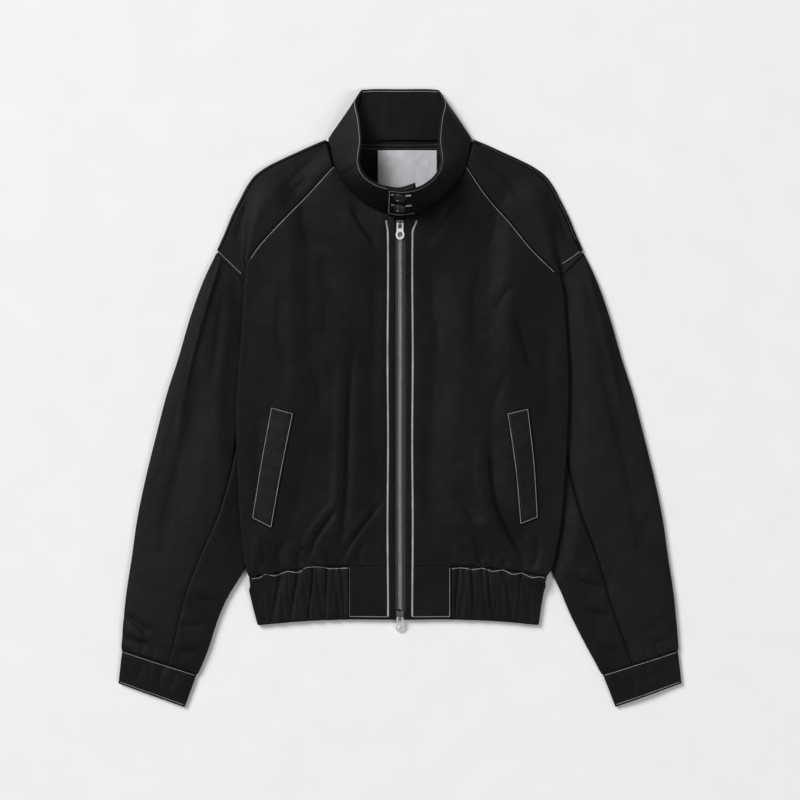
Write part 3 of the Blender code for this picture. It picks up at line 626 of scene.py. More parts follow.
# Where a shoulder starts and stops coming down to the sleeve's height: shares of the way
# out from the raglan seam, at even steps from its neck end to its foot
DROP_FROM = (0.0, 0.05, 0.1, 0.25, 0.5, 0.45, 0.25, 0.04)
DROP_TO = (1.0, 1.0, 1.0, 1.0, 1.0, 0.85, 0.55, 0.2)


def build_shoulder(side):
    rows = steps_for(RAGLAN_LENGTH)
    columns = steps_for(60, FINE_GRID)
    raglan, _ = side_shift(raglan_line(side, rows)[::-1], 0.5, (260, 340))
    outline, _ = side_shift(even(SHOULDER, rows), 4.7, INSIDE_SHOULDER)
    outline[0] += (-0.5, -0.5)
    outline[-1] += (0.0, 2.0)
    share = np.linspace(0, 1, columns)[None, :, None]
    plan = raglan[:, None] + (outline - raglan)[:, None] * share
    v = np.linspace(0, 1, rows)
    table_v = np.linspace(0, 1, len(DROP_FROM))
    drop_from = np.interp(v, table_v, DROP_FROM)[:, None]
    drop_to = np.interp(v, table_v, DROP_TO)[:, None]
    down = smooth(share[..., 0], drop_from, drop_to)
    high = top_height(raglan[:, 0], raglan[:, 1])[:, None]
    z = mix(high, LIMB_TOP, down)
    sign = SIDES[side]
    x = plan[..., 0] * sign
    soft = np.sin(math.pi * share[..., 0]) ** 0.7
    z = z + 1.0 * soft * smooth(v, 0.05, 0.3)[:, None] * (1 - 0.6 * smooth(v, 0.8, 1.0))[:, None]
    z = z + relief(x, plan[..., 1], SHOULDER_CREASES) + swell(x, plan[..., 1], 0.5) * soft
    line = on_side(raglan_line(side, 40), side)
    drop = on_side(drop_seam_line(), side)
    z = z + seams(x, plan[..., 1], (line,), (drop, 0.9, 2.0))
    top = np.dstack((plan, z))
    head = top[-1]
    low_share = np.linspace(0.46, 0.0, columns)[:, None]
    drop_ends, _ = side_shift(np.array([(247, 197), ARMPIT], dtype=float), DROP_LAP, (300, 0))
    start = drop_ends[0] - (1.6, 1.2)
    foot = start + (drop_ends[1] - start) * low_share
    ease = np.linspace(0, 1, 14)[:, None, None]
    lower = np.concatenate((foot, np.full((len(foot), 1), LIMB_TOP + CLOTH + 0.1)), axis=1)
    hidden = head[None] + (lower - head)[None] * ease
    hidden[..., 2] = mix(head[:, 2], lower[:, 2], smooth(ease[..., 0], 0.0, 0.55))
    sheet("shoulder_" + side, [top, hidden], TWILL, side=sign)


def build_back():
    reach = CLOTH + (LIMB_TOP - CLOTH) / 2
    shoulder_steps = steps_for(240, 4.0)
    neck_steps = 24
    edge, outward = side_shift(even(SHOULDER, shoulder_steps), reach, (120, 250))
    neck = even([(0, 350.4), (60, 350.4), edge[0]], neck_steps)
    half = np.concatenate((neck, edge[1:]))
    top = np.concatenate((half[:0:-1] * (-1, 1), half))
    below = (SIDE_SEAM - 0.3, 85)
    armpit = (ARMPIT[0] - 1, ARMPIT[1] + 0.6)
    side = np.concatenate((even([(below[0], float(band_top(SIDE_SEAM)) + 0.3), below], 70),
                           even([below, armpit], 6)[1:], even([armpit, edge[-1]], 30)[1:]))
    low_x = np.linspace(-side[0, 0], side[0, 0], len(top))
    low = np.stack((low_x, band_top(np.abs(low_x)) + 0.3), axis=1)
    plan = patch_between(low, top, side * (-1, 1), side)
    x, y = plan[..., 0], plan[..., 1]
    low_edge = np.minimum(y - band_top(np.abs(x)), 40)
    z = np.full(x.shape, CLOTH) - np.minimum(relief(x, y, BACK_CREASES), 0.0)
    z = z + BACK_GATHERS(x, y) * np.exp(-np.maximum(low_edge, 0) / 12.0)
    floor = np.dstack((plan, z))
    patches = [floor]
    middle = len(half) - 1
    for sign in (-1, 1):
        line = floor[-1][middle:] if sign > 0 else floor[-1][middle::-1]
        line = line[neck_steps - 1:]
        away = outward * (sign, 1)
        low_z = np.full(len(line), CLOTH)
        turned = half_turn(line[:, 0], line[:, 1], line[:, 2], low_z + LIMB_TOP - CLOTH, away)
        last = turned[:, -1] - np.concatenate((away, np.zeros((len(away), 1))), axis=1)
        patches.append(np.concatenate((turned, last[:, None]), axis=1))
    sheet("back", patches, TWILL, faces_up=False)


def back_gathers(seed):
    """Folds that the band draws up on the back, as heights off the floor."""
    draw = np.random.default_rng(seed)
    marks = []
    x = -205.0
    while x < 205:
        x += draw.uniform(8, 15)
        marks.append((x, draw.uniform(0.6, 2.0), draw.uniform(2.0, 3.6), draw.uniform(-0.1, 0.1)))

    def height(at_x, y):
        total = np.zeros(np.shape(at_x))
        for middle, high, width, slant in marks:
            total += high * np.exp(-((at_x - middle - slant * (y + 260)) / width) ** 2)
        return total
    return height


BACK_GATHERS = back_gathers(5)


# ------------------------------------------------------------------ sleeves and cuffs
def limb_plan(table, count, side):
    """The outer and the inner edge of a flattened tube, at even steps down its length."""
    rows = even([tuple(row) for row in table], count)
    shift, middle, reach = FOREARM[side]
    rows[:, 2] += shift * np.exp(-((rows[:, 3] - middle) / reach) ** 2)
    return rows[:, :2], rows[:, 2:]


def limb(table, side, start, finish, round_outer, rows, columns, shape, low_inner):
    """Inner face of part of a flattened tube; shape gives the upper layer's height."""
    outer, inner = limb_plan(table, rows, side)
    width = np.linalg.norm(inner - outer, axis=1)
    reach = low_inner + (LIMB_TOP - low_inner) / 2
    edge = reach / width if round_outer else 1 - reach / width
    share = start + (edge[:, None] - start) * np.linspace(0, 1, columns)[None, :] ** 0.9
    plan = outer[:, None] + (inner - outer)[:, None] * share[..., None]
    top = np.dstack((plan, shape(plan[..., 0], plan[..., 1], share)))
    outward = (outer - inner) / width[:, None] * (1 if round_outer else -1)
    low = np.full(rows, low_inner)
    turned = half_turn(plan[:, -1, 0], plan[:, -1, 1], top[:, -1, 2], low, outward)
    share = edge[:, None] + (finish - edge[:, None]) * np.linspace(0, 1, columns // 2)[None, :]
    plan = outer[:, None] + (inner - outer)[:, None] * share[..., None]
    bottom = np.dstack((plan, np.full(share.shape, low_inner)))
    return np.concatenate((top, turned[:, 1:], bottom[:, 1:]), axis=1)


def sleeve_shape(side):
    """The height of a sleeve's upper layer, as a function of places in plan."""
    outer, inner = limb_plan(SLEEVE, 60, side)
    seam_line = on_side(outer + (inner - outer) * FRONT_SEAM_SHARE, side)
    drop = on_side(drop_seam_line(), side)
    cuff = on_side([outer[-1], inner[-1]], side)

    def shape(out, y, share):
        x = out * SIDES[side]
        clear = smooth(out - fold_out(y, side), -1, 26)
        clear = np.where(y < -243, smooth(out - 188, 4, 30), clear)
        down = np.linspace(0, 1, out.shape[0])[:, None]
        loose = clear * smooth(down, 0.0, 0.12) * (1 - 0.35 * smooth(down, 0.9, 1.0))
        round_top = np.clip(4 * share * (1 - share), 0, 1) ** 0.55
        z = LIMB_TOP + 7.0 * round_top * loose
        calm = np.clip(np.minimum(share, 1 - share) / 0.06, 0, 1)
        folds = relief(x, y, SLEEVE_CREASES) + swell(x, y, 0.9)
        near_cuff = smooth(down, 0.93, 1.0)
        pleats = -near_cuff * sum(deep * np.exp(-((share * SLEEVE_WIDE - place) / wide) ** 2)
                                  for place, deep, wide in CUFF_PLEATS)
        z = z + (folds * (0.25 + 0.75 * loose) + pleats + relief(x, y, OVERARM)) * calm
        z = z + seams(x, y, (seam_line, 1.3, 2.4), (drop, 1.0, 2.2), (cuff, 1.2, 2.6))
        return np.maximum(z, LIMB_TOP - 1.6)
    return shape


def build_sleeve(side):
    shape = sleeve_shape(side)
    rows = steps_for(SLEEVE_LENGTH)
    for part, sign, columns in (("upper", -1, 46), ("under", 1, 34)):
        name = "sleeve_" + part + "_" + side
        grid = limb(SLEEVE, side, FRONT_SEAM_SHARE + sign * 0.001, BACK_SEAM_SHARE + sign * 0.001,
                    sign < 0, rows, columns, shape, CLOTH + 0.1)
        sheet(name, [grid], TWILL, side=SIDES[side])


def build_cuff(side):
    sign = SIDES[side]

    def shape(out, y, share):
        x = out * sign
        down = np.linspace(0, 1, out.shape[0])[:, None]
        round_top = np.clip(4 * share * (1 - share), 0, 1) ** 0.6
        z = LIMB_TOP + 0.5 + round_top * mix(3.4, 2.0, down)
        calm = np.clip(np.minimum(share, 1 - share) / 0.1, 0, 1)
        z = z + (swell(x * 1.9, y * 1.9, 0.8) + relief(x, y, CUFF_CREASES)) * calm
        z = z - 0.6 * np.exp(-((down * CUFF_TALL - 4.5) / 1.4) ** 2)
        z = z - 0.5 * np.exp(-(((1 - down) * CUFF_TALL - 3.4) / 1.3) ** 2)
        return z - 0.5 * (np.abs(share) > 0.999)

    outer, inner = [limb(CUFF, side, 0.5, 0.5, round_outer, 34, 38, shape, CUFF_CLOTH + 0.2)
                    for round_outer in (True, False)]
    grid = np.concatenate((outer[:, ::-1], inner[:, 1:]), axis=1)
    sheet("cuff_" + side, [grid], TWILL, thickness=CUFF_CLOTH, side=sign)


# ------------------------------------------------------------------ hem
def build_hem_tab(side):
    out = np.linspace(ZIP_EDGE, TAB_OUT - 0.15, steps_for(62, FINE_GRID))[None, :]
    share = np.linspace(1, 0, steps_for(BAND_TALL, FINE_GRID))[:, None]
    y = mix(band_top(out), hem_low(out), share)
    out = np.repeat(out, len(share), axis=0)
    z = front_surface(out, y, side)
    z = z - 0.7 * np.exp(-((out - TAB_OUT) / 2.0) ** 2)
    sheet("hem_tab_" + side, [np.dstack((out, y, z))], TWILL, thickness=1.4,
          side=SIDES[side])


def band_half(side):
    """Half of the gathered band: from the hem tab, round the side, to the back's middle."""
    share = np.linspace(0, 1, steps_for(BAND_TALL, 2.4))[:, None]

    def level(out):
        return mix(band_top(out) - 0.5, hem_low(out), share)

    fold = np.full(share.shape, 200.0)
    for _ in range(6):
        fold = fold_out(level(fold), side)
    edge = fold - 2.5
    out = mix(TAB_OUT + 0.15, edge, np.linspace(0, 1, steps_for(130, 1.5))[None, :])
    y = level(out)
    calm = 1 - smooth(out - edge, -14, -2)
    z = top_height(out, y) + 1.2 + gathers(out, y, side, (1.0 - 0.25 * share) * calm)
    z = z + swell(out * SIDES[side], y, 0.4) * calm
    hem_roll = np.exp(-((1 - share) * BAND_TALL / 3.0) ** 2)
    z = z - 0.8 * np.exp(-((share * BAND_TALL - 1) / 2.6) ** 2) - 0.5 * hem_roll
    top = np.dstack((out, y, settled(z, BAND_REST)))
    line = top[:, -1]
    low = under_height(line[:, 0], line[:, 1])
    turned = half_turn(line[:, 0], line[:, 1], line[:, 2], low)
    out = edge * (1 - np.linspace(0, 1, steps_for(FRONT_WIDTH))[None, :])
    y = level(out)
    z = under_height(out, y) + BACK_GATHERS(out * SIDES[side], y) * (1 - smooth(out, 180, 200))
    under = np.dstack((out, y, z))
    half = np.concatenate((top, turned[:, 1:], under[:, 1:]), axis=1)
    return half * np.array([SIDES[side], 1.0, 1.0])


def build_hem_band():
    rows = np.concatenate((band_half("right"), band_half("left")[:, -2::-1]), axis=1)
    sheet("hem_band", [rows], TWILL)


# ------------------------------------------------------------------ collar
COLLAR_LAP = 1.75


def collar_lines(columns=260):
    """Base and rim of the collar with how far they stand out, from the under end on the
    front, round the back, to the over end on the front."""
    def near_middle(out):
        return [np.interp(out, [0, 20, 44.5], column) for column in zip(*COLLAR[:3])]

    def row(sign, place, lap, lift):
        return tuple(np.array(place) * (sign, 1, 1, sign, 1, 1)) + (lap, lift)

    lapped = [COLLAR_LAP, COLLAR_LAP / 3] + [0.0] * len(COLLAR)
    line = [row(1, near_middle(24), -COLLAR_LAP, 6), row(1, near_middle(12), -COLLAR_LAP, 3),
            row(-1, near_middle(0), -COLLAR_LAP, 0)]
    line += [row(-1, spot, -lapped[k], 0) for k, spot in enumerate(COLLAR[1:])]
    line += [row(1, spot, lapped[k], 0) for k, spot in reversed(list(enumerate(COLLAR[1:-1])))]
    line += [row(-1, near_middle(0), COLLAR_LAP, 0), row(-1, near_middle(17.5), COLLAR_LAP, 0)]
    wide = even(line, columns)
    base, rim, lap, lift = wide[:, :3], wide[:, 3:6], wide[:, 6:7], wide[:, 7:8]
    rise = rim - base
    rise /= np.linalg.norm(rise, axis=1)[:, None]
    rim = rim + rise * lift
    middle = (base + rim) / 2
    normal = np.cross(np.gradient(middle, axis=0), rise)
    normal /= np.linalg.norm(normal, axis=1)[:, None]
    if normal[2, 1] > 0:
        normal = -normal
    return base, rim, lap, normal


def collar_point(column_share, share, above=0.0):
    """Places on the collar's outer face: shares along it and up it, and a height above."""
    base, rim, lap, normal = COLLAR_SHAPE
    at = np.asarray(column_share) * (len(base) - 1)
    low = np.clip(np.floor(at).astype(int), 0, len(base) - 2)
    part = (at - low)[:, None]

    def pick(values):
        return values[low] * (1 - part) + values[low + 1] * part

    share = np.broadcast_to(np.asarray(share, dtype=float), at.shape)[:, None]
    foot, top, out, face = pick(base), pick(rim), pick(lap), pick(normal)
    loop = at[:, None]
    upright = smooth(top[:, 2:3], 8, 40)
    arch = np.sin(math.pi * share)
    pulled = (0.5 + 0.5 * np.sin(loop / 2.1 + 1.8 * share + 1.4 * np.sin(loop / 7))) ** 4
    uneven = 0.5 + 0.5 * np.sin(loop / 8.3 + 0.8)
    bulge = (1.5 - 2.4 * pulled * uneven + 0.8 * np.sin(loop / 5.1 + 1 - 3 * share)) * arch
    bulge = bulge * (0.35 + 0.65 * upright)
    dip = -0.5 * np.exp(-((share - 0.075) / 0.02) ** 2) - 0.7 * np.exp(-(share / 0.03) ** 2)
    place = foot + (top - foot) * share + face * (out + bulge + dip * upright + above)
    return place, face


def build_collar():
    columns = len(COLLAR_SHAPE[0])
    across = np.linspace(0, 1, columns)
    rows = [collar_point(across, share)[0] for share in np.linspace(0, 1, 30)]
    grid = np.stack(rows, axis=1)
    item = sheet("collar", [grid], TWILL, thickness=COLLAR_CLOTH, offset=0.0)
    edge = item.modifiers.new("edge", "BEVEL")
    edge.width = 0.7 * MM
    edge.segments = 2
    edge.limit_method = "ANGLE"
    edge.angle_limit = math.radians(50)


# ------------------------------------------------------------------ pieces laid on panels
def surface_of(names):
    """Sheets as they stand with their thickness, for rays to hit."""
    graph = bpy.context.evaluated_depsgraph_get()
    return [BVHTree.FromObject(SHEETS[name], graph) for name in names]


ABOVE_ALL = 150
DOWNWARDS = Vector((0, 0, -1))


def lay(points, trees, above=0.0):
    """Places in plan laid on the highest of some surfaces: points and normals."""
    places, normals = [], []
    for x, y in points:
        best = None
        for tree in trees:
            hit, normal, _, _ = tree.ray_cast(Vector((x, y, ABOVE_ALL)) * MM, DOWNWARDS)
            if hit is not None and (best is None or hit.z > best[0].z):
                best = (hit, normal if normal.z > 0 else -normal)
        if best is None:
            continue
        hit, normal = best
        places.append(tuple(hit / MM + normal * above))
        normals.append(tuple(normal))
    return np.array(places), np.array(normals)


def welt_place(side, u, v):
    """A place on a welt: shares across it from the zip's side and down it."""
    upper_in, upper_out, lower_in, lower_out = [np.array(spot, float) for spot in WELT[side]]
    place = mix(mix(upper_in, lower_in, v), mix(upper_out, lower_out, v), u)
    return place + (WELT_BOW[side] * math.sin(math.pi * v), 0)


def build_welt(side):
    rows, columns = 110, 20
    plan = np.array([[welt_place(side, u, v) for u in np.linspace(0, 1, columns)]
                     for v in np.linspace(0, 1, rows)])
    laid, _ = lay(on_side(plan.reshape(-1, 2), side), surface_of(["cloth_front_" + side]))
    z = laid[:, 2].reshape(rows, columns)
    for _ in range(3):
        z[1:-1, 1:-1] = (z[1:-1, 1:-1] * 2 + z[:-2, 1:-1] + z[2:, 1:-1] + z[1:-1, :-2]
                         + z[1:-1, 2:]) / 6
    u = np.linspace(0, 1, columns)[None, :]
    v = np.linspace(0, 1, rows)[:, None]
    rim = np.minimum(np.minimum(u, 1 - u) * WELT_WIDE, np.minimum(v, 1 - v) * WELT_TALL)
    z = z + 0.35 + 0.9 * smooth(rim, 0.2, 2.2) - 0.45 * np.exp(-((rim - 3.0) / 1.0) ** 2)
    z = z + 0.28 * np.sin(v * 41 + 3 * u) * smooth(rim, 3, 8)
    sheet("pocket_welt_" + side, [np.dstack((plan, z))], TWILL,
          thickness=WELT_CLOTH, side=SIDES[side])


def build_label():
    x, y = np.meshgrid(np.linspace(-30, 50, 60), np.linspace(334, 279, 44))
    z = 2.3 + 0.5 * np.sin(x / 19.0 + 1) * np.sin(y / 23.0) + 0.2 * np.sin(x / 7.0)
    sheet("neck_label", [np.dstack((x, y, z))], LABEL, thickness=0.5)


def zip_height(y):
    """Where the front lies beside the zip."""
    return top_height(ZIP_EDGE, y)


def build_tape(side):
    out, y = np.meshgrid(np.linspace(2.6, 16.6, 12), np.linspace(-296.5, 238, 220))
    z = zip_height(y) - 1.75 + 0.35 * np.exp(-((out - 2.6) / 1.0) ** 2)
    z = z + 0.12 * np.sin(y / 5.0) * smooth(out, 4, 9)
    sheet("zip_tape_" + side, [np.dstack((out, y, z))], TAPE, thickness=0.7,
          side=SIDES[side], called="zip_tape_weave_" + side)


# ------------------------------------------------------------------ stitching
Row = namedtuple("Row", "name on thread pitch wide path")


def taken(shape):
    """The points and faces of a modelled shape, which is then removed."""
    points = np.array([tuple(vertex.co) for vertex in shape.data.vertices])
    faces = [tuple(face.vertices) for face in shape.data.polygons]
    bpy.data.objects.remove(shape)
    return points, faces


def bead():
    """One stitch modelled as a bead of thread, 1 mm long, 1 mm wide and 1 mm high."""
    bpy.ops.object.select_all(action="DESELECT")
    bpy.ops.mesh.primitive_uv_sphere_add(segments=6, ring_count=4, radius=0.5,
                                         rotation=(0, math.pi / 2, 0))
    bpy.ops.object.transform_apply(location=False, rotation=True, scale=False)
    points, faces = taken(bpy.context.object)
    points[:, 0] = np.sign(points[:, 0]) * np.abs(points[:, 0] * 2) ** 0.7 / 2
    return points, faces


BEAD_POINTS, BEAD_FACES = bead()
SHORTEST_STITCH = 0.05
LONGEST_STITCH = 12


def stitch_mesh(name, lines, thread, wide=0.8, high=0.5, fill=0.88):
    """Stitches between each two places of lines that are laid on cloth, as one mesh."""
    points, faces = [], []
    for places, normals in lines:
        for start, finish, normal in zip(places, places[1:], normals):
            run = finish - start
            length = np.linalg.norm(run)
            if not SHORTEST_STITCH <= length <= LONGEST_STITCH:
                continue
            along = run / length
            across = np.cross(normal, along)
            across /= np.linalg.norm(across)
            up = np.cross(along, across)
            size = BEAD_POINTS * (length * fill, wide, high)
            spot = (start + finish) / 2 + up * high * 0.22
            placed = spot + size[:, :1] * along + size[:, 1:2] * across + size[:, 2:] * up
            first = len(points) * len(BEAD_POINTS)
            points.append(placed)
            faces += [tuple(corner + first for corner in face) for face in BEAD_FACES]
    piece(name, points, faces, thread).data.shade_smooth()


def spaced(path, pitch):
    """A smooth plan line through a few points, with a place at every pitch."""
    path = np.array([tuple(point) for point in path], dtype=float)
    length = np.linalg.norm(np.diff(path, axis=0), axis=1).sum()
    return even(path, max(2, int(round(length / pitch)) + 1))


def inset(path, distance, towards):
    """A smooth plan line moved a little towards a point."""
    line, _ = side_shift(even(path, 40), distance, towards)
    return line


DROP_STITCH = {
    "right": [(246, 198.5), (228, 181), (214, 167.5)],
    "left": [(247, 201), (233, 190.5), (219, 181)],
}
SHOULDER_STITCH = {"right": 1.2, "left": 3.6}
TAB_STITCH = {"right": 68.2, "left": 67.0}
BAND_STITCH = {
    "right": [(199, -243), (190, -242), (181, -237.5), (169, -239.5), (151, -233.5),
              (135, -234.5), (131, -231), (108, -228), (92, -230), (80, -229.5), (70, -229)],
    "left": [(199, -243.5), (189, -240.5), (178, -241.5), (163, -236), (152, -237.5),
             (139, -232), (124, -233.5), (112, -229.5), (98, -231), (84, -229), (70, -230)],
}
ZIGZAG = 1.45


def seam_rows():
    """Every row of topstitching that lies on a panel, in plan."""
    rows = []
    for side, sign in SIDES.items():
        def put(points):
            return [(sign * out, y) for out, y in points]
        body = ["cloth_front_" + side]
        head = ["cloth_shoulder_" + side]
        raglan = inset(raglan_line(side, 30), 1.5, (0, 100))
        rows.append(Row("raglan_" + side, body, THREAD, 2.9, 0.85, put(raglan[1:])))
        rows.append(Row("drop_shoulder_" + side, head, THREAD, 2.9, 0.8,
                        put(DROP_STITCH[side])))
        outline = inset(SHOULDER, SHOULDER_STITCH[side], INSIDE_SHOULDER)
        rows.append(Row("shoulder_" + side, head + ["cloth_back"], FAINT_THREAD, 2.9, 0.6,
                        put(outline[2:37])))
        outer, inner = limb_plan(CUFF, 2, side)
        for label, share in (("top", 0.045), ("edge", 0.945)):
            ends = [mix(outer[0], outer[1], share), mix(inner[0], inner[1], share)]
            ends = [mix(ends[0], ends[1], 0.012), mix(ends[0], ends[1], 0.988)]
            rows.append(Row("cuff_" + label + "_" + side, ["cloth_cuff_" + side], THREAD, 2.8,
                            0.8, put(ends)))
        rows.append(Row("band_" + side, ["cloth_hem_band"] + body, THREAD, 2.4, 0.9,
                        put(BAND_STITCH[side])))
        edge = TAB_STITCH[side]
        tab = ["cloth_hem_tab_" + side]
        rows.append(Row("tab_side_" + side, tab, THREAD, 2.7, 0.8,
                        put([(edge, -229), (edge, -260), (edge, -294.3)])))
        rows.append(Row("tab_hem_" + side, tab, THREAD, 2.7, 0.85,
                        put([(edge, -294.3), (40, -294.6), (17.5, -294.6)])))
        rows += welt_rows(side, ["cloth_pocket_welt_" + side], put)
        line = [(zip_stitch_out(side, y), y) for y in np.linspace(-294.5, 238.5, 356)]
        line = [(out + ZIGZAG * (-1) ** number, y) for number, (out, y) in enumerate(line)]
        rows.append(Row("zip_" + side, body + tab, ZIP_THREAD, None, 1.45, put(line)))
    for number, y in enumerate((341, 336)):
        rows.append(Row("neck_%d" % number, ["cloth_back"], FAINT_THREAD, 2.9, 0.7,
                        [(-70, y + 1), (0, y), (70, y + 1)]))
    return rows


def zip_stitch_out(side, y):
    """How far the zip's stitching stands from the middle: it flares out at the top."""
    flare = {"right": 2.2, "left": 5.5}[side] * smooth(y, 222, 240)
    return {"right": 16.4, "left": 16.9}[side] + flare + 0.35 * math.sin(y / 37)


def welt_rows(side, on, put):
    """Stitching round a welt, a little inside its edges."""
    near, far, high, low = 0.06, 0.94, 0.012, 0.988
    edges = {"upper": [(near, high), (far, high)], "lower": [(near, low), (far, low)],
             "inner": [(near, high), (near, 0.5), (near, low)],
             "outer": [(far, high), (far, 0.5), (far, low)]}
    return [Row("welt_" + name + "_" + side, on, THREAD, 2.6, 0.75,
                put([welt_place(side, u, v) for u, v in marks]))
            for name, marks in edges.items()]


def build_seam_rows():
    for row in seam_rows():
        trees = surface_of(row.on)
        path = np.array(row.path) if row.pitch is None else spaced(row.path, row.pitch)
        stitch_mesh("stitching_" + row.name, [lay(path, trees)], row.thread, row.wide,
                    high=0.55 * row.wide)


def collar_length():
    """Millimetres along the collar's base from end to end."""
    return np.linalg.norm(np.diff(COLLAR_SHAPE[0], axis=0), axis=1).sum()


def collar_row(ends, shares, pitch=2.9, face=1.0):
    """A row on the collar: its ends by millimetres from the over end and by share up it."""
    run = abs(ends[1] - ends[0])
    if run < 1:
        run = abs(shares[1] - shares[0]) * COLLAR_TALL
    count = max(3, int(run / pitch) + 1)
    along = 1 - np.linspace(*ends, count) / collar_length()
    up = np.linspace(*shares, count)
    spots = [collar_point([a], u, face * COLLAR_CLOTH / 2) for a, u in zip(along, up)]
    line = np.array([place[0] for place, _ in spots])
    normals = np.array([normal[0] for _, normal in spots]) * face
    return line, normals


RIM_SHARE = 0.955
FOOT_SHARE = 0.06
END_IN = 2.6
FOOT_RUN = 33
BUTTONHOLE_SHARES = (0.425, 0.825)


def build_collar_rows():
    ends = (3, collar_length() - 3)
    rim = [collar_row(ends, (RIM_SHARE, RIM_SHARE), face=face) for face in (1.0, -1.0)]
    stitch_mesh("stitching_collar_rim", rim, THREAD, 0.85, 0.5)
    over = [collar_row((END_IN, END_IN), (FOOT_SHARE, RIM_SHARE)),
            collar_row((END_IN, FOOT_RUN), (FOOT_SHARE, FOOT_SHARE)),
            collar_row((FOOT_RUN, FOOT_RUN + 2), (FOOT_SHARE, 0.0))]
    stitch_mesh("stitching_collar_end", over, THREAD, 0.8, 0.5)
    bars = [collar_row((5.5, 31), (share + 0.014 * side,) * 2, 1.2)
            for share in BUTTONHOLE_SHARES for side in (-1, 1)]
    stitch_mesh("stitching_buttonholes", bars, BAR_THREAD, 1.7, 1.0, fill=1.0)


# ------------------------------------------------------------------ zip and buttons
def only(chosen):
    """Selects the faces of the mesh being edited whose middle and normal pass a test."""
    bpy.ops.mesh.select_all(action="DESELECT")
    bpy.ops.object.mode_set(mode="OBJECT")
    mesh = bpy.context.object.data
    for face in mesh.polygons:
        face.select = bool(chosen(face.center, face.normal))
    bpy.ops.object.mode_set(mode="EDIT")


def tooth():
    """One moulded tooth in millimetres: a block with a narrower head that reaches across."""
    bpy.ops.object.select_all(action="DESELECT")
    bpy.ops.mesh.primitive_cube_add(size=1.0)
    bpy.ops.object.mode_set(mode="EDIT")
    bpy.ops.mesh.select_mode(type="FACE")
    bpy.ops.mesh.select_all(action="SELECT")
    bpy.ops.transform.resize(value=(2.1, 1.9, 2.1))
    bpy.ops.transform.translate(value=(1.95, 0, 0))
    only(lambda middle, normal: normal.x < -0.9)
    bpy.ops.mesh.extrude_region_move(TRANSFORM_OT_translate={"value": (-1.5, 0, 0)})
    bpy.ops.transform.resize(value=(1.0, 0.55, 0.8), center_override=(-0.6, 0, 0))
    bpy.ops.mesh.select_all(action="SELECT")
    bpy.ops.mesh.bevel(offset=0.28, segments=1, affect="EDGES")
    bpy.ops.object.mode_set(mode="OBJECT")
    return taken(bpy.context.object)


TOOTH_PITCH = 2.9
TOOTH_SLANT = math.radians(14)
TEETH_Y = (-284.0, 236.0)


def build_teeth():
    """The closed chain: teeth from each tape in turn, each slanted up towards the middle."""
    shape, shape_faces = tooth()
    shape = shape @ np.array(Matrix.Rotation(-TOOTH_SLANT, 3, "Z")).T
    points, faces = [], []
    for number in range(int((TEETH_Y[1] - TEETH_Y[0]) / (TOOTH_PITCH / 2))):
        side = -1 if number % 2 else 1
        y = TEETH_Y[0] + number * TOOTH_PITCH / 2
        placed = shape * (side, 1, 1)
        placed = placed + (0.25 * math.sin(y / 61), y, float(zip_height(np.array(y))) - 0.7)
        first = number * len(shape)
        points.append(placed)
        faces += [tuple(corner + first for corner in face)[::side] for face in shape_faces]
    item = piece("zip_teeth_moulded", points, faces, TEETH_METAL)
    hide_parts("zip_teeth")


BUTTON_RADIUS = 8.5
BUTTON_HIGH = 2.6
BUTTON_IN = 16.5      # from the collar's over end
HOLE_OUT = 1.35       # from the button's middle, both ways
BUTTON_SHARES = {"lower": 0.40, "upper": 0.80}


def drilled(item, places, radius, depth):
    """Cuts upright holes through a piece that stands on the XY plane."""
    for x, y in places:
        bpy.ops.object.select_all(action="DESELECT")
        bpy.ops.mesh.primitive_cylinder_add(vertices=16, radius=radius, depth=depth,
                                            location=(x, y, 0))
        cutter = bpy.context.object
        bpy.context.view_layer.objects.active = item
        cut = item.modifiers.new("hole", "BOOLEAN")
        cut.operation = "DIFFERENCE"
        cut.object = cutter
        bpy.ops.object.modifier_apply(modifier=cut.name)
        bpy.data.objects.remove(cutter)


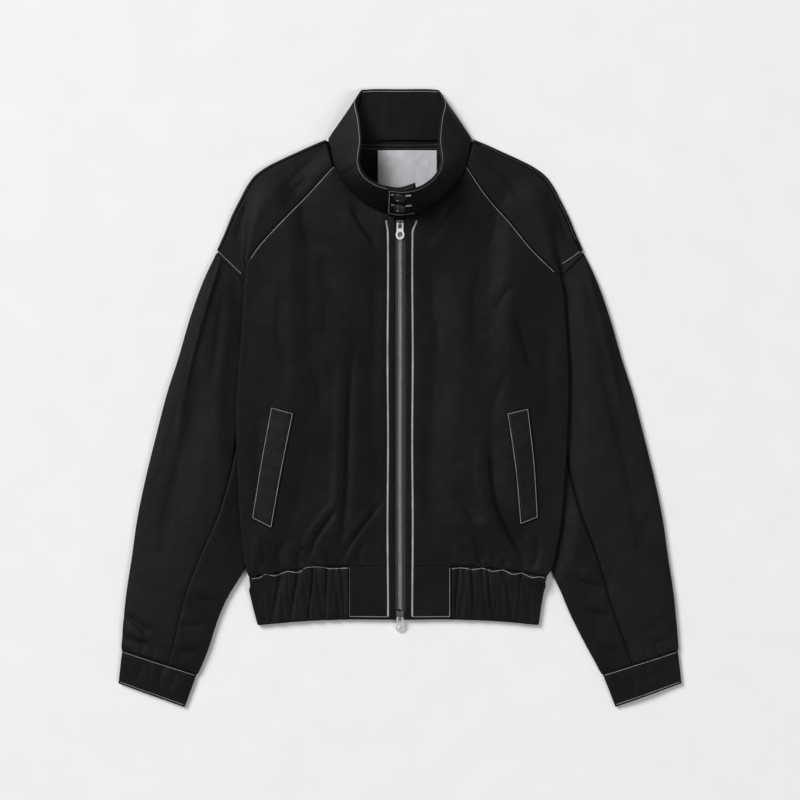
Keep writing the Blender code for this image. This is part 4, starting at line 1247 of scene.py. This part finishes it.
def build_button(name, share):
    """A four-hole button with a raised, rounded rim, sewn on through its holes."""
    bpy.ops.object.select_all(action="DESELECT")
    bpy.ops.mesh.primitive_cylinder_add(vertices=48, radius=BUTTON_RADIUS * MM,
                                        depth=BUTTON_HIGH * MM)
    item = bpy.context.object
    item.name = "resin_" + name
    bpy.ops.object.mode_set(mode="EDIT")
    bpy.ops.mesh.select_mode(type="FACE")
    only(lambda middle, normal: normal.z > 0.9)
    bpy.ops.mesh.inset(thickness=1.5 * MM)
    bpy.ops.mesh.inset(thickness=0.8 * MM, depth=-0.9 * MM)
    bpy.ops.mesh.inset(thickness=2.0 * MM, depth=-0.15 * MM)
    bpy.ops.object.mode_set(mode="OBJECT")
    holes = [(x * HOLE_OUT * MM, y * HOLE_OUT * MM) for x in (-1, 1) for y in (-1, 1)]
    drilled(item, holes, 0.7 * MM, 4 * MM)
    soften = item.modifiers.new("soften", "BEVEL")
    soften.width = 0.45 * MM
    soften.segments = 3
    soften.limit_method = "ANGLE"
    soften.angle_limit = math.radians(40)
    bpy.ops.object.modifier_apply(modifier=soften.name)
    bpy.ops.object.select_all(action="DESELECT")
    item.select_set(True)
    bpy.context.view_layer.objects.active = item
    bpy.ops.object.shade_smooth_by_angle(angle=math.radians(35))
    item.data.materials.append(RESIN)
    place, face = collar_point([1 - BUTTON_IN / collar_length()], share)
    away = Vector(face[0]).normalized()
    across = Vector((1, 0, 0))
    across = (across - away * across.dot(away)).normalized()
    frame_axes = Matrix((across, away.cross(across), away)).transposed().to_4x4()
    seat = Vector(place[0]) + away * (COLLAR_CLOTH / 2 + 0.5 + BUTTON_HIGH / 2)
    stand = Matrix.Translation(seat * MM) @ frame_axes
    item.data.transform(stand)
    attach(item, "jacket")
    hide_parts(name)
    sewn = []
    for x in (-HOLE_OUT, HOLE_OUT):
        line = np.array([tuple(stand @ Vector((x * MM, y * MM, 0.5 * MM)) / MM)
                         for y in (-1.7, 0.0, 1.7)])
        sewn.append((line, np.repeat(np.array(away)[None], 3, axis=0)))
    stitch_mesh("thread_" + name, sewn, DARK_THREAD, 1.0, 0.8, fill=1.0)


def dress_metal():
    """The sliders and their pull tabs keep the frame's shape and get worn plate; the sliders'
    plate is darker, as painted shade for the slot under each tab.
    """
    for which in ("top", "bottom"):
        for name, plate in (("slider_", SLIDER_NICKEL_PAINTED_SHADE), ("pull_tab_", NICKEL)):
            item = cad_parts[name + which]
            item.data.materials.clear()
            item.data.materials.append(plate)


# ------------------------------------------------------------------ materials
def linear(hex_colour):
    """An sRGB hex colour as linear RGBA."""
    parts = [int(hex_colour[at:at + 2], 16) / 255 for at in (1, 3, 5)]
    return tuple(c / 12.92 if c <= 0.04045 else ((c + 0.055) / 1.055) ** 2.4 for c in parts) + (1,)


def add(tree, kind, settings=None, inputs=None, stops=()):
    """A shader node with its settings. An input is a value or another node's output, and a
    ramp's stops are (place, hex colour)."""
    node = tree.nodes.new(kind)
    for name, value in (settings or {}).items():
        setattr(node, name, value)
    for name, value in (inputs or {}).items():
        if isinstance(value, bpy.types.NodeSocket):
            tree.links.new(value, node.inputs[name])
        else:
            node.inputs[name].default_value = value
    for number, (place, colour) in enumerate(stops):
        marks = node.color_ramp.elements
        mark = marks[number] if number < len(marks) else marks.new(place)
        mark.position = place
        mark.color = linear(colour)
    return node


def material(name):
    """A new material and its node tree, which is still empty."""
    item = bpy.data.materials.new(name)
    item.use_nodes = True
    tree = item.node_tree
    tree.nodes.clear()
    return item, tree


# How far apart a wave texture of scale 1 draws its bands
STRAIGHT_BANDS = 0.314
DIAGONAL_BANDS = 0.444


def black_twill():
    """Black cotton-blend twill, woven and piece-dyed: matt with a soft nap that catches light
    at grazing angles. Real ribs lie 0.5 mm apart; they are drawn at 0.9 mm so that they
    show at all."""
    item, tree = material("woven black cotton twill")
    cloth = add(tree, "ShaderNodeUVMap", {"uv_map": "cloth"}).outputs["UV"]
    solid = add(tree, "ShaderNodeTexCoord").outputs["Object"]
    ribs = add(tree, "ShaderNodeTexWave", {"bands_direction": "DIAGONAL"}, {
        "Vector": cloth, "Scale": DIAGONAL_BANDS / (0.9 * MM), "Distortion": 0.6,
        "Detail": 1.0, "Detail Scale": 2.0})
    slub = add(tree, "ShaderNodeTexNoise", inputs={
        "Vector": cloth, "Scale": 1 / (1.6 * MM), "Detail": 2.0})
    wear = add(tree, "ShaderNodeTexNoise", inputs={
        "Vector": solid, "Scale": 1 / (38 * MM), "Detail": 4.0, "Roughness": 0.6})
    grain = add(tree, "ShaderNodeMath", {"operation": "MULTIPLY_ADD"}, {
        0: slub.outputs["Fac"], 1: 0.5, 2: ribs.outputs["Fac"]})
    tone = add(tree, "ShaderNodeMath", {"operation": "MULTIPLY_ADD"}, {
        0: grain.outputs["Value"], 1: 0.22, 2: wear.outputs["Fac"]})
    colour = add(tree, "ShaderNodeValToRGB", inputs={"Fac": tone.outputs["Value"]},
                 stops=[(0.3, "#050505"), (0.62, "#090909"), (0.95, "#131314")])
    rough = add(tree, "ShaderNodeMapRange", inputs={
        "Value": slub.outputs["Fac"], "To Min": 0.52, "To Max": 0.68})
    fine_crumple = add(tree, "ShaderNodeTexNoise", inputs={
        "Vector": solid, "Scale": 1 / (3.2 * MM), "Detail": 4.0, "Roughness": 0.65})
    wide_crumple = add(tree, "ShaderNodeTexNoise", inputs={
        "Vector": solid, "Scale": 1 / (16 * MM), "Detail": 5.0, "Roughness": 0.55})
    crumple = add(tree, "ShaderNodeMath", {"operation": "MULTIPLY_ADD"}, {
        0: fine_crumple.outputs["Fac"], 1: 0.45, 2: wide_crumple.outputs["Fac"]})
    coarse = add(tree, "ShaderNodeBump", inputs={
        "Height": crumple.outputs["Value"], "Strength": 0.6, "Distance": 1.9 * MM})
    fine = add(tree, "ShaderNodeBump", inputs={
        "Height": grain.outputs["Value"], "Strength": 0.6, "Distance": 0.14 * MM,
        "Normal": coarse.outputs["Normal"]})
    surface = add(tree, "ShaderNodeBsdfPrincipled", inputs={
        "Base Color": colour.outputs["Color"], "Roughness": rough.outputs["Result"],
        "Normal": fine.outputs["Normal"], "IOR": 1.46, "Specular IOR Level": 0.2,
        "Sheen Weight": 0.01, "Sheen Roughness": 0.45, "Sheen Tint": linear("#c9ccd4")})
    add(tree, "ShaderNodeOutputMaterial", inputs={"Surface": surface.outputs["BSDF"]})
    return item


def sewing_thread(name, dark, pale):
    """Spun polyester thread: matt, with its two-ply twist every 0.5 mm and uneven dye."""
    item, tree = material(name)
    solid = add(tree, "ShaderNodeTexCoord").outputs["Object"]
    twist = add(tree, "ShaderNodeTexWave", {"bands_direction": "DIAGONAL"}, {
        "Vector": solid, "Scale": DIAGONAL_BANDS / (0.5 * MM), "Distortion": 0.2,
        "Detail": 1.0, "Detail Scale": 2.0})
    dye = add(tree, "ShaderNodeTexNoise", inputs={
        "Vector": solid, "Scale": 1 / (14 * MM), "Detail": 3.0})
    colour = add(tree, "ShaderNodeValToRGB", inputs={"Fac": dye.outputs["Fac"]},
                 stops=[(0.3, dark), (0.7, pale)])
    bump = add(tree, "ShaderNodeBump", inputs={
        "Height": twist.outputs["Fac"], "Strength": 0.4, "Distance": 0.08 * MM})
    surface = add(tree, "ShaderNodeBsdfPrincipled", inputs={
        "Base Color": colour.outputs["Color"], "Roughness": 0.75, "IOR": 1.5,
        "Normal": bump.outputs["Normal"]})
    add(tree, "ShaderNodeOutputMaterial", inputs={"Surface": surface.outputs["BSDF"]})
    return item


def nickel_plate(name, dark, pale, smoothest, roughest):
    """Cast metal with nickel plate, tumbled: faintly uneven in tone, with fine scuffs."""
    item, tree = material(name)
    solid = add(tree, "ShaderNodeTexCoord").outputs["Object"]
    scuffs = add(tree, "ShaderNodeTexNoise", inputs={
        "Vector": solid, "Scale": 1 / (0.8 * MM), "Detail": 5.0, "Roughness": 0.7})
    cloud = add(tree, "ShaderNodeTexNoise", inputs={
        "Vector": solid, "Scale": 1 / (3 * MM), "Detail": 3.0})
    colour = add(tree, "ShaderNodeValToRGB", inputs={"Fac": cloud.outputs["Fac"]},
                 stops=[(0.3, dark), (0.7, pale)])
    rough = add(tree, "ShaderNodeMapRange", inputs={
        "Value": scuffs.outputs["Fac"], "To Min": smoothest, "To Max": roughest})
    bump = add(tree, "ShaderNodeBump", inputs={
        "Height": scuffs.outputs["Fac"], "Strength": 0.25, "Distance": 0.05 * MM})
    surface = add(tree, "ShaderNodeBsdfPrincipled", inputs={
        "Base Color": colour.outputs["Color"], "Metallic": 1.0,
        "Roughness": rough.outputs["Result"], "Normal": bump.outputs["Normal"]})
    add(tree, "ShaderNodeOutputMaterial", inputs={"Surface": surface.outputs["BSDF"]})
    return item


def polyester_tape():
    """Woven polyester zip tape: dark grey with a slight gloss, its ribs 0.8 mm apart along
    the zip and its weft across."""
    item, tree = material("woven polyester zip tape")
    cloth = add(tree, "ShaderNodeUVMap", {"uv_map": "cloth"}).outputs["UV"]
    ribs = add(tree, "ShaderNodeTexWave", {"bands_direction": "X"}, {
        "Vector": cloth, "Scale": STRAIGHT_BANDS / (0.8 * MM)})
    weft = add(tree, "ShaderNodeTexWave", {"bands_direction": "Y"}, {
        "Vector": cloth, "Scale": STRAIGHT_BANDS / (0.6 * MM)})
    weave = add(tree, "ShaderNodeMath", {"operation": "MULTIPLY"}, {
        0: ribs.outputs["Fac"], 1: weft.outputs["Fac"]})
    colour = add(tree, "ShaderNodeValToRGB", inputs={"Fac": weave.outputs["Value"]},
                 stops=[(0.2, "#1d1d1f"), (0.8, "#3c3c40")])
    bump = add(tree, "ShaderNodeBump", inputs={
        "Height": weave.outputs["Value"], "Strength": 0.5, "Distance": 0.15 * MM})
    surface = add(tree, "ShaderNodeBsdfPrincipled", inputs={
        "Base Color": colour.outputs["Color"], "Roughness": 0.55, "IOR": 1.5,
        "Sheen Weight": 0.2, "Normal": bump.outputs["Normal"]})
    add(tree, "ShaderNodeOutputMaterial", inputs={"Surface": surface.outputs["BSDF"]})
    return item


def satin_label():
    """Woven polyester satin in pale grey: long floats along the label give a soft band of
    light, and its warp lies 0.4 mm apart, drawn at 0.8 mm so that it shows."""
    item, tree = material("woven satin label")
    cloth = add(tree, "ShaderNodeUVMap", {"uv_map": "cloth"}).outputs["UV"]
    warp = add(tree, "ShaderNodeTexWave", {"bands_direction": "X"}, {
        "Vector": cloth, "Scale": STRAIGHT_BANDS / (0.8 * MM), "Distortion": 0.5,
        "Detail": 1.0, "Detail Scale": 2.0})
    cloud = add(tree, "ShaderNodeTexNoise", inputs={
        "Vector": cloth, "Scale": 1 / (11 * MM), "Detail": 3.0})
    tone = add(tree, "ShaderNodeMath", {"operation": "MULTIPLY_ADD"}, {
        0: warp.outputs["Fac"], 1: 0.15, 2: cloud.outputs["Fac"]})
    colour = add(tree, "ShaderNodeValToRGB", inputs={"Fac": tone.outputs["Value"]},
                 stops=[(0.3, "#c4c5c8"), (0.8, "#dcdde0")])
    bump = add(tree, "ShaderNodeBump", inputs={
        "Height": warp.outputs["Fac"], "Strength": 0.3, "Distance": 0.08 * MM})
    surface = add(tree, "ShaderNodeBsdfPrincipled", inputs={
        "Base Color": colour.outputs["Color"], "Roughness": 0.42, "Anisotropic": 0.4,
        "IOR": 1.5, "Normal": bump.outputs["Normal"]})
    add(tree, "ShaderNodeOutputMaterial", inputs={"Surface": surface.outputs["BSDF"]})
    return item


def polyester_resin():
    """Cast polyester resin in black: polished, with a grey swirl and fine wear all over."""
    item, tree = material("cast black polyester resin")
    solid = add(tree, "ShaderNodeTexCoord").outputs["Object"]
    swirl = add(tree, "ShaderNodeTexNoise", inputs={
        "Vector": solid, "Scale": 1 / (7 * MM), "Detail": 5.0, "Roughness": 0.6})
    colour = add(tree, "ShaderNodeValToRGB", inputs={"Fac": swirl.outputs["Fac"]},
                 stops=[(0.35, "#101011"), (0.6, "#1b1a1a"), (0.8, "#2e2c2b")])
    wear = add(tree, "ShaderNodeTexNoise", inputs={
        "Vector": solid, "Scale": 1 / (1.1 * MM), "Detail": 4.0, "Roughness": 0.7})
    rough = add(tree, "ShaderNodeMapRange", inputs={
        "Value": wear.outputs["Fac"], "To Min": 0.16, "To Max": 0.34})
    surface = add(tree, "ShaderNodeBsdfPrincipled", inputs={
        "Base Color": colour.outputs["Color"], "Roughness": rough.outputs["Result"],
        "IOR": 1.56, "Coat Weight": 0.3, "Coat Roughness": 0.15})
    add(tree, "ShaderNodeOutputMaterial", inputs={"Surface": surface.outputs["BSDF"]})
    return item


def studio_paper():
    """Matt white background paper, faintly uneven in tone."""
    item, tree = material("matt background paper")
    solid = add(tree, "ShaderNodeTexCoord").outputs["Object"]
    cloud = add(tree, "ShaderNodeTexNoise", inputs={
        "Vector": solid, "Scale": 1 / (60 * MM), "Detail": 3.0})
    colour = add(tree, "ShaderNodeValToRGB", inputs={"Fac": cloud.outputs["Fac"]},
                 stops=[(0.3, "#f3f3f3"), (0.7, "#f6f6f6")])
    surface = add(tree, "ShaderNodeBsdfPrincipled", inputs={
        "Base Color": colour.outputs["Color"], "Roughness": 0.9, "IOR": 1.4,
        "Specular IOR Level": 0.2})
    add(tree, "ShaderNodeOutputMaterial", inputs={"Surface": surface.outputs["BSDF"]})
    return item


TWILL = black_twill()
THREAD = sewing_thread("spun polyester sewing thread", "#96969a", "#c2c2c4")
ZIP_THREAD = sewing_thread("spun polyester buttonhole thread", "#a6a6a8", "#cfcfd0")
BAR_THREAD = sewing_thread("white polyester buttonhole thread", "#d2d2d2", "#efefef")
FAINT_THREAD = sewing_thread("grey polyester sewing thread", "#4c4c4e", "#68686a")
DARK_THREAD = sewing_thread("black polyester sewing thread", "#1c1c1e", "#303033")
NICKEL = nickel_plate("satin nickel-plated zinc", "#eae9e6", "#fbfaf8", 0.55, 0.75)
TEETH_METAL = nickel_plate("antique nickel-plated brass", "#a2a19e", "#cdccc8", 0.34, 0.55)
# The sliders' plate is darker than the tabs' nickel: painted shade for the slot under each pull
# tab.
SLIDER_NICKEL_PAINTED_SHADE = nickel_plate("nickel-plated zinc darkened as painted shade", "#5e5e60", "#868688", 0.4, 0.6)
TAPE = polyester_tape()
LABEL = satin_label()
RESIN = polyester_resin()


# ------------------------------------------------------------------ build
for wearer_side in SIDES:
    build_front(wearer_side)
    build_shoulder(wearer_side)
    build_sleeve(wearer_side)
    build_cuff(wearer_side)
    build_hem_tab(wearer_side)
    build_tape(wearer_side)
build_back()
build_hem_band()
COLLAR_SHAPE = collar_lines()
build_collar()
build_label()
bpy.context.view_layer.update()
for wearer_side in SIDES:
    build_welt(wearer_side)
bpy.context.view_layer.update()
build_seam_rows()
build_collar_rows()
build_teeth()
for row_name, up_collar in BUTTON_SHARES.items():
    build_button("collar_button_" + row_name, up_collar)
dress_metal()


# ------------------------------------------------------------------ stage
def build_stage():
    bpy.ops.object.select_all(action="DESELECT")
    bpy.ops.mesh.primitive_plane_add(size=12.0, location=(0, 0, -0.0002))
    floor = bpy.context.object
    floor.name = "background_paper"
    floor.data.materials.append(studio_paper())

    def lamp(name, place, size, power):
        data = bpy.data.lights.new(name, "AREA")
        data.shape = "SQUARE"
        data.size = size
        data.energy = power
        item = bpy.data.objects.new(name, data)
        bpy.context.scene.collection.objects.link(item)
        item.location = place
        item.rotation_euler = (-Vector(place)).to_track_quat("-Z", "Y").to_euler()

    lamp("key", (-8.6, 6.8, 8.6), 6.0, 1860)
    lamp("fill", (6.5, -5.5, 7.5), 4.0, 330)
    world = bpy.data.worlds.new("studio")
    bpy.context.scene.world = world
    world.use_nodes = True
    tree = world.node_tree
    tree.nodes.clear()
    glow = add(tree, "ShaderNodeBackground", inputs={"Color": linear("#ffffff"), "Strength": 0.22})
    add(tree, "ShaderNodeOutputWorld", inputs={"Surface": glow.outputs["Background"]})
    bpy.context.scene.view_settings.view_transform = "Standard"


FRAMED = 1.08         # metres of floor that the camera sees across


def build_camera():
    """Straight above, on a 100 mm lens."""
    data = bpy.data.cameras.new("camera")
    data.lens = 100
    data.sensor_width = 36
    camera = bpy.data.objects.new("camera", data)
    bpy.context.scene.collection.objects.link(camera)
    camera.location = (0, -0.0027, FRAMED * data.lens / data.sensor_width)
    bpy.context.scene.camera = camera


build_stage()
build_camera()
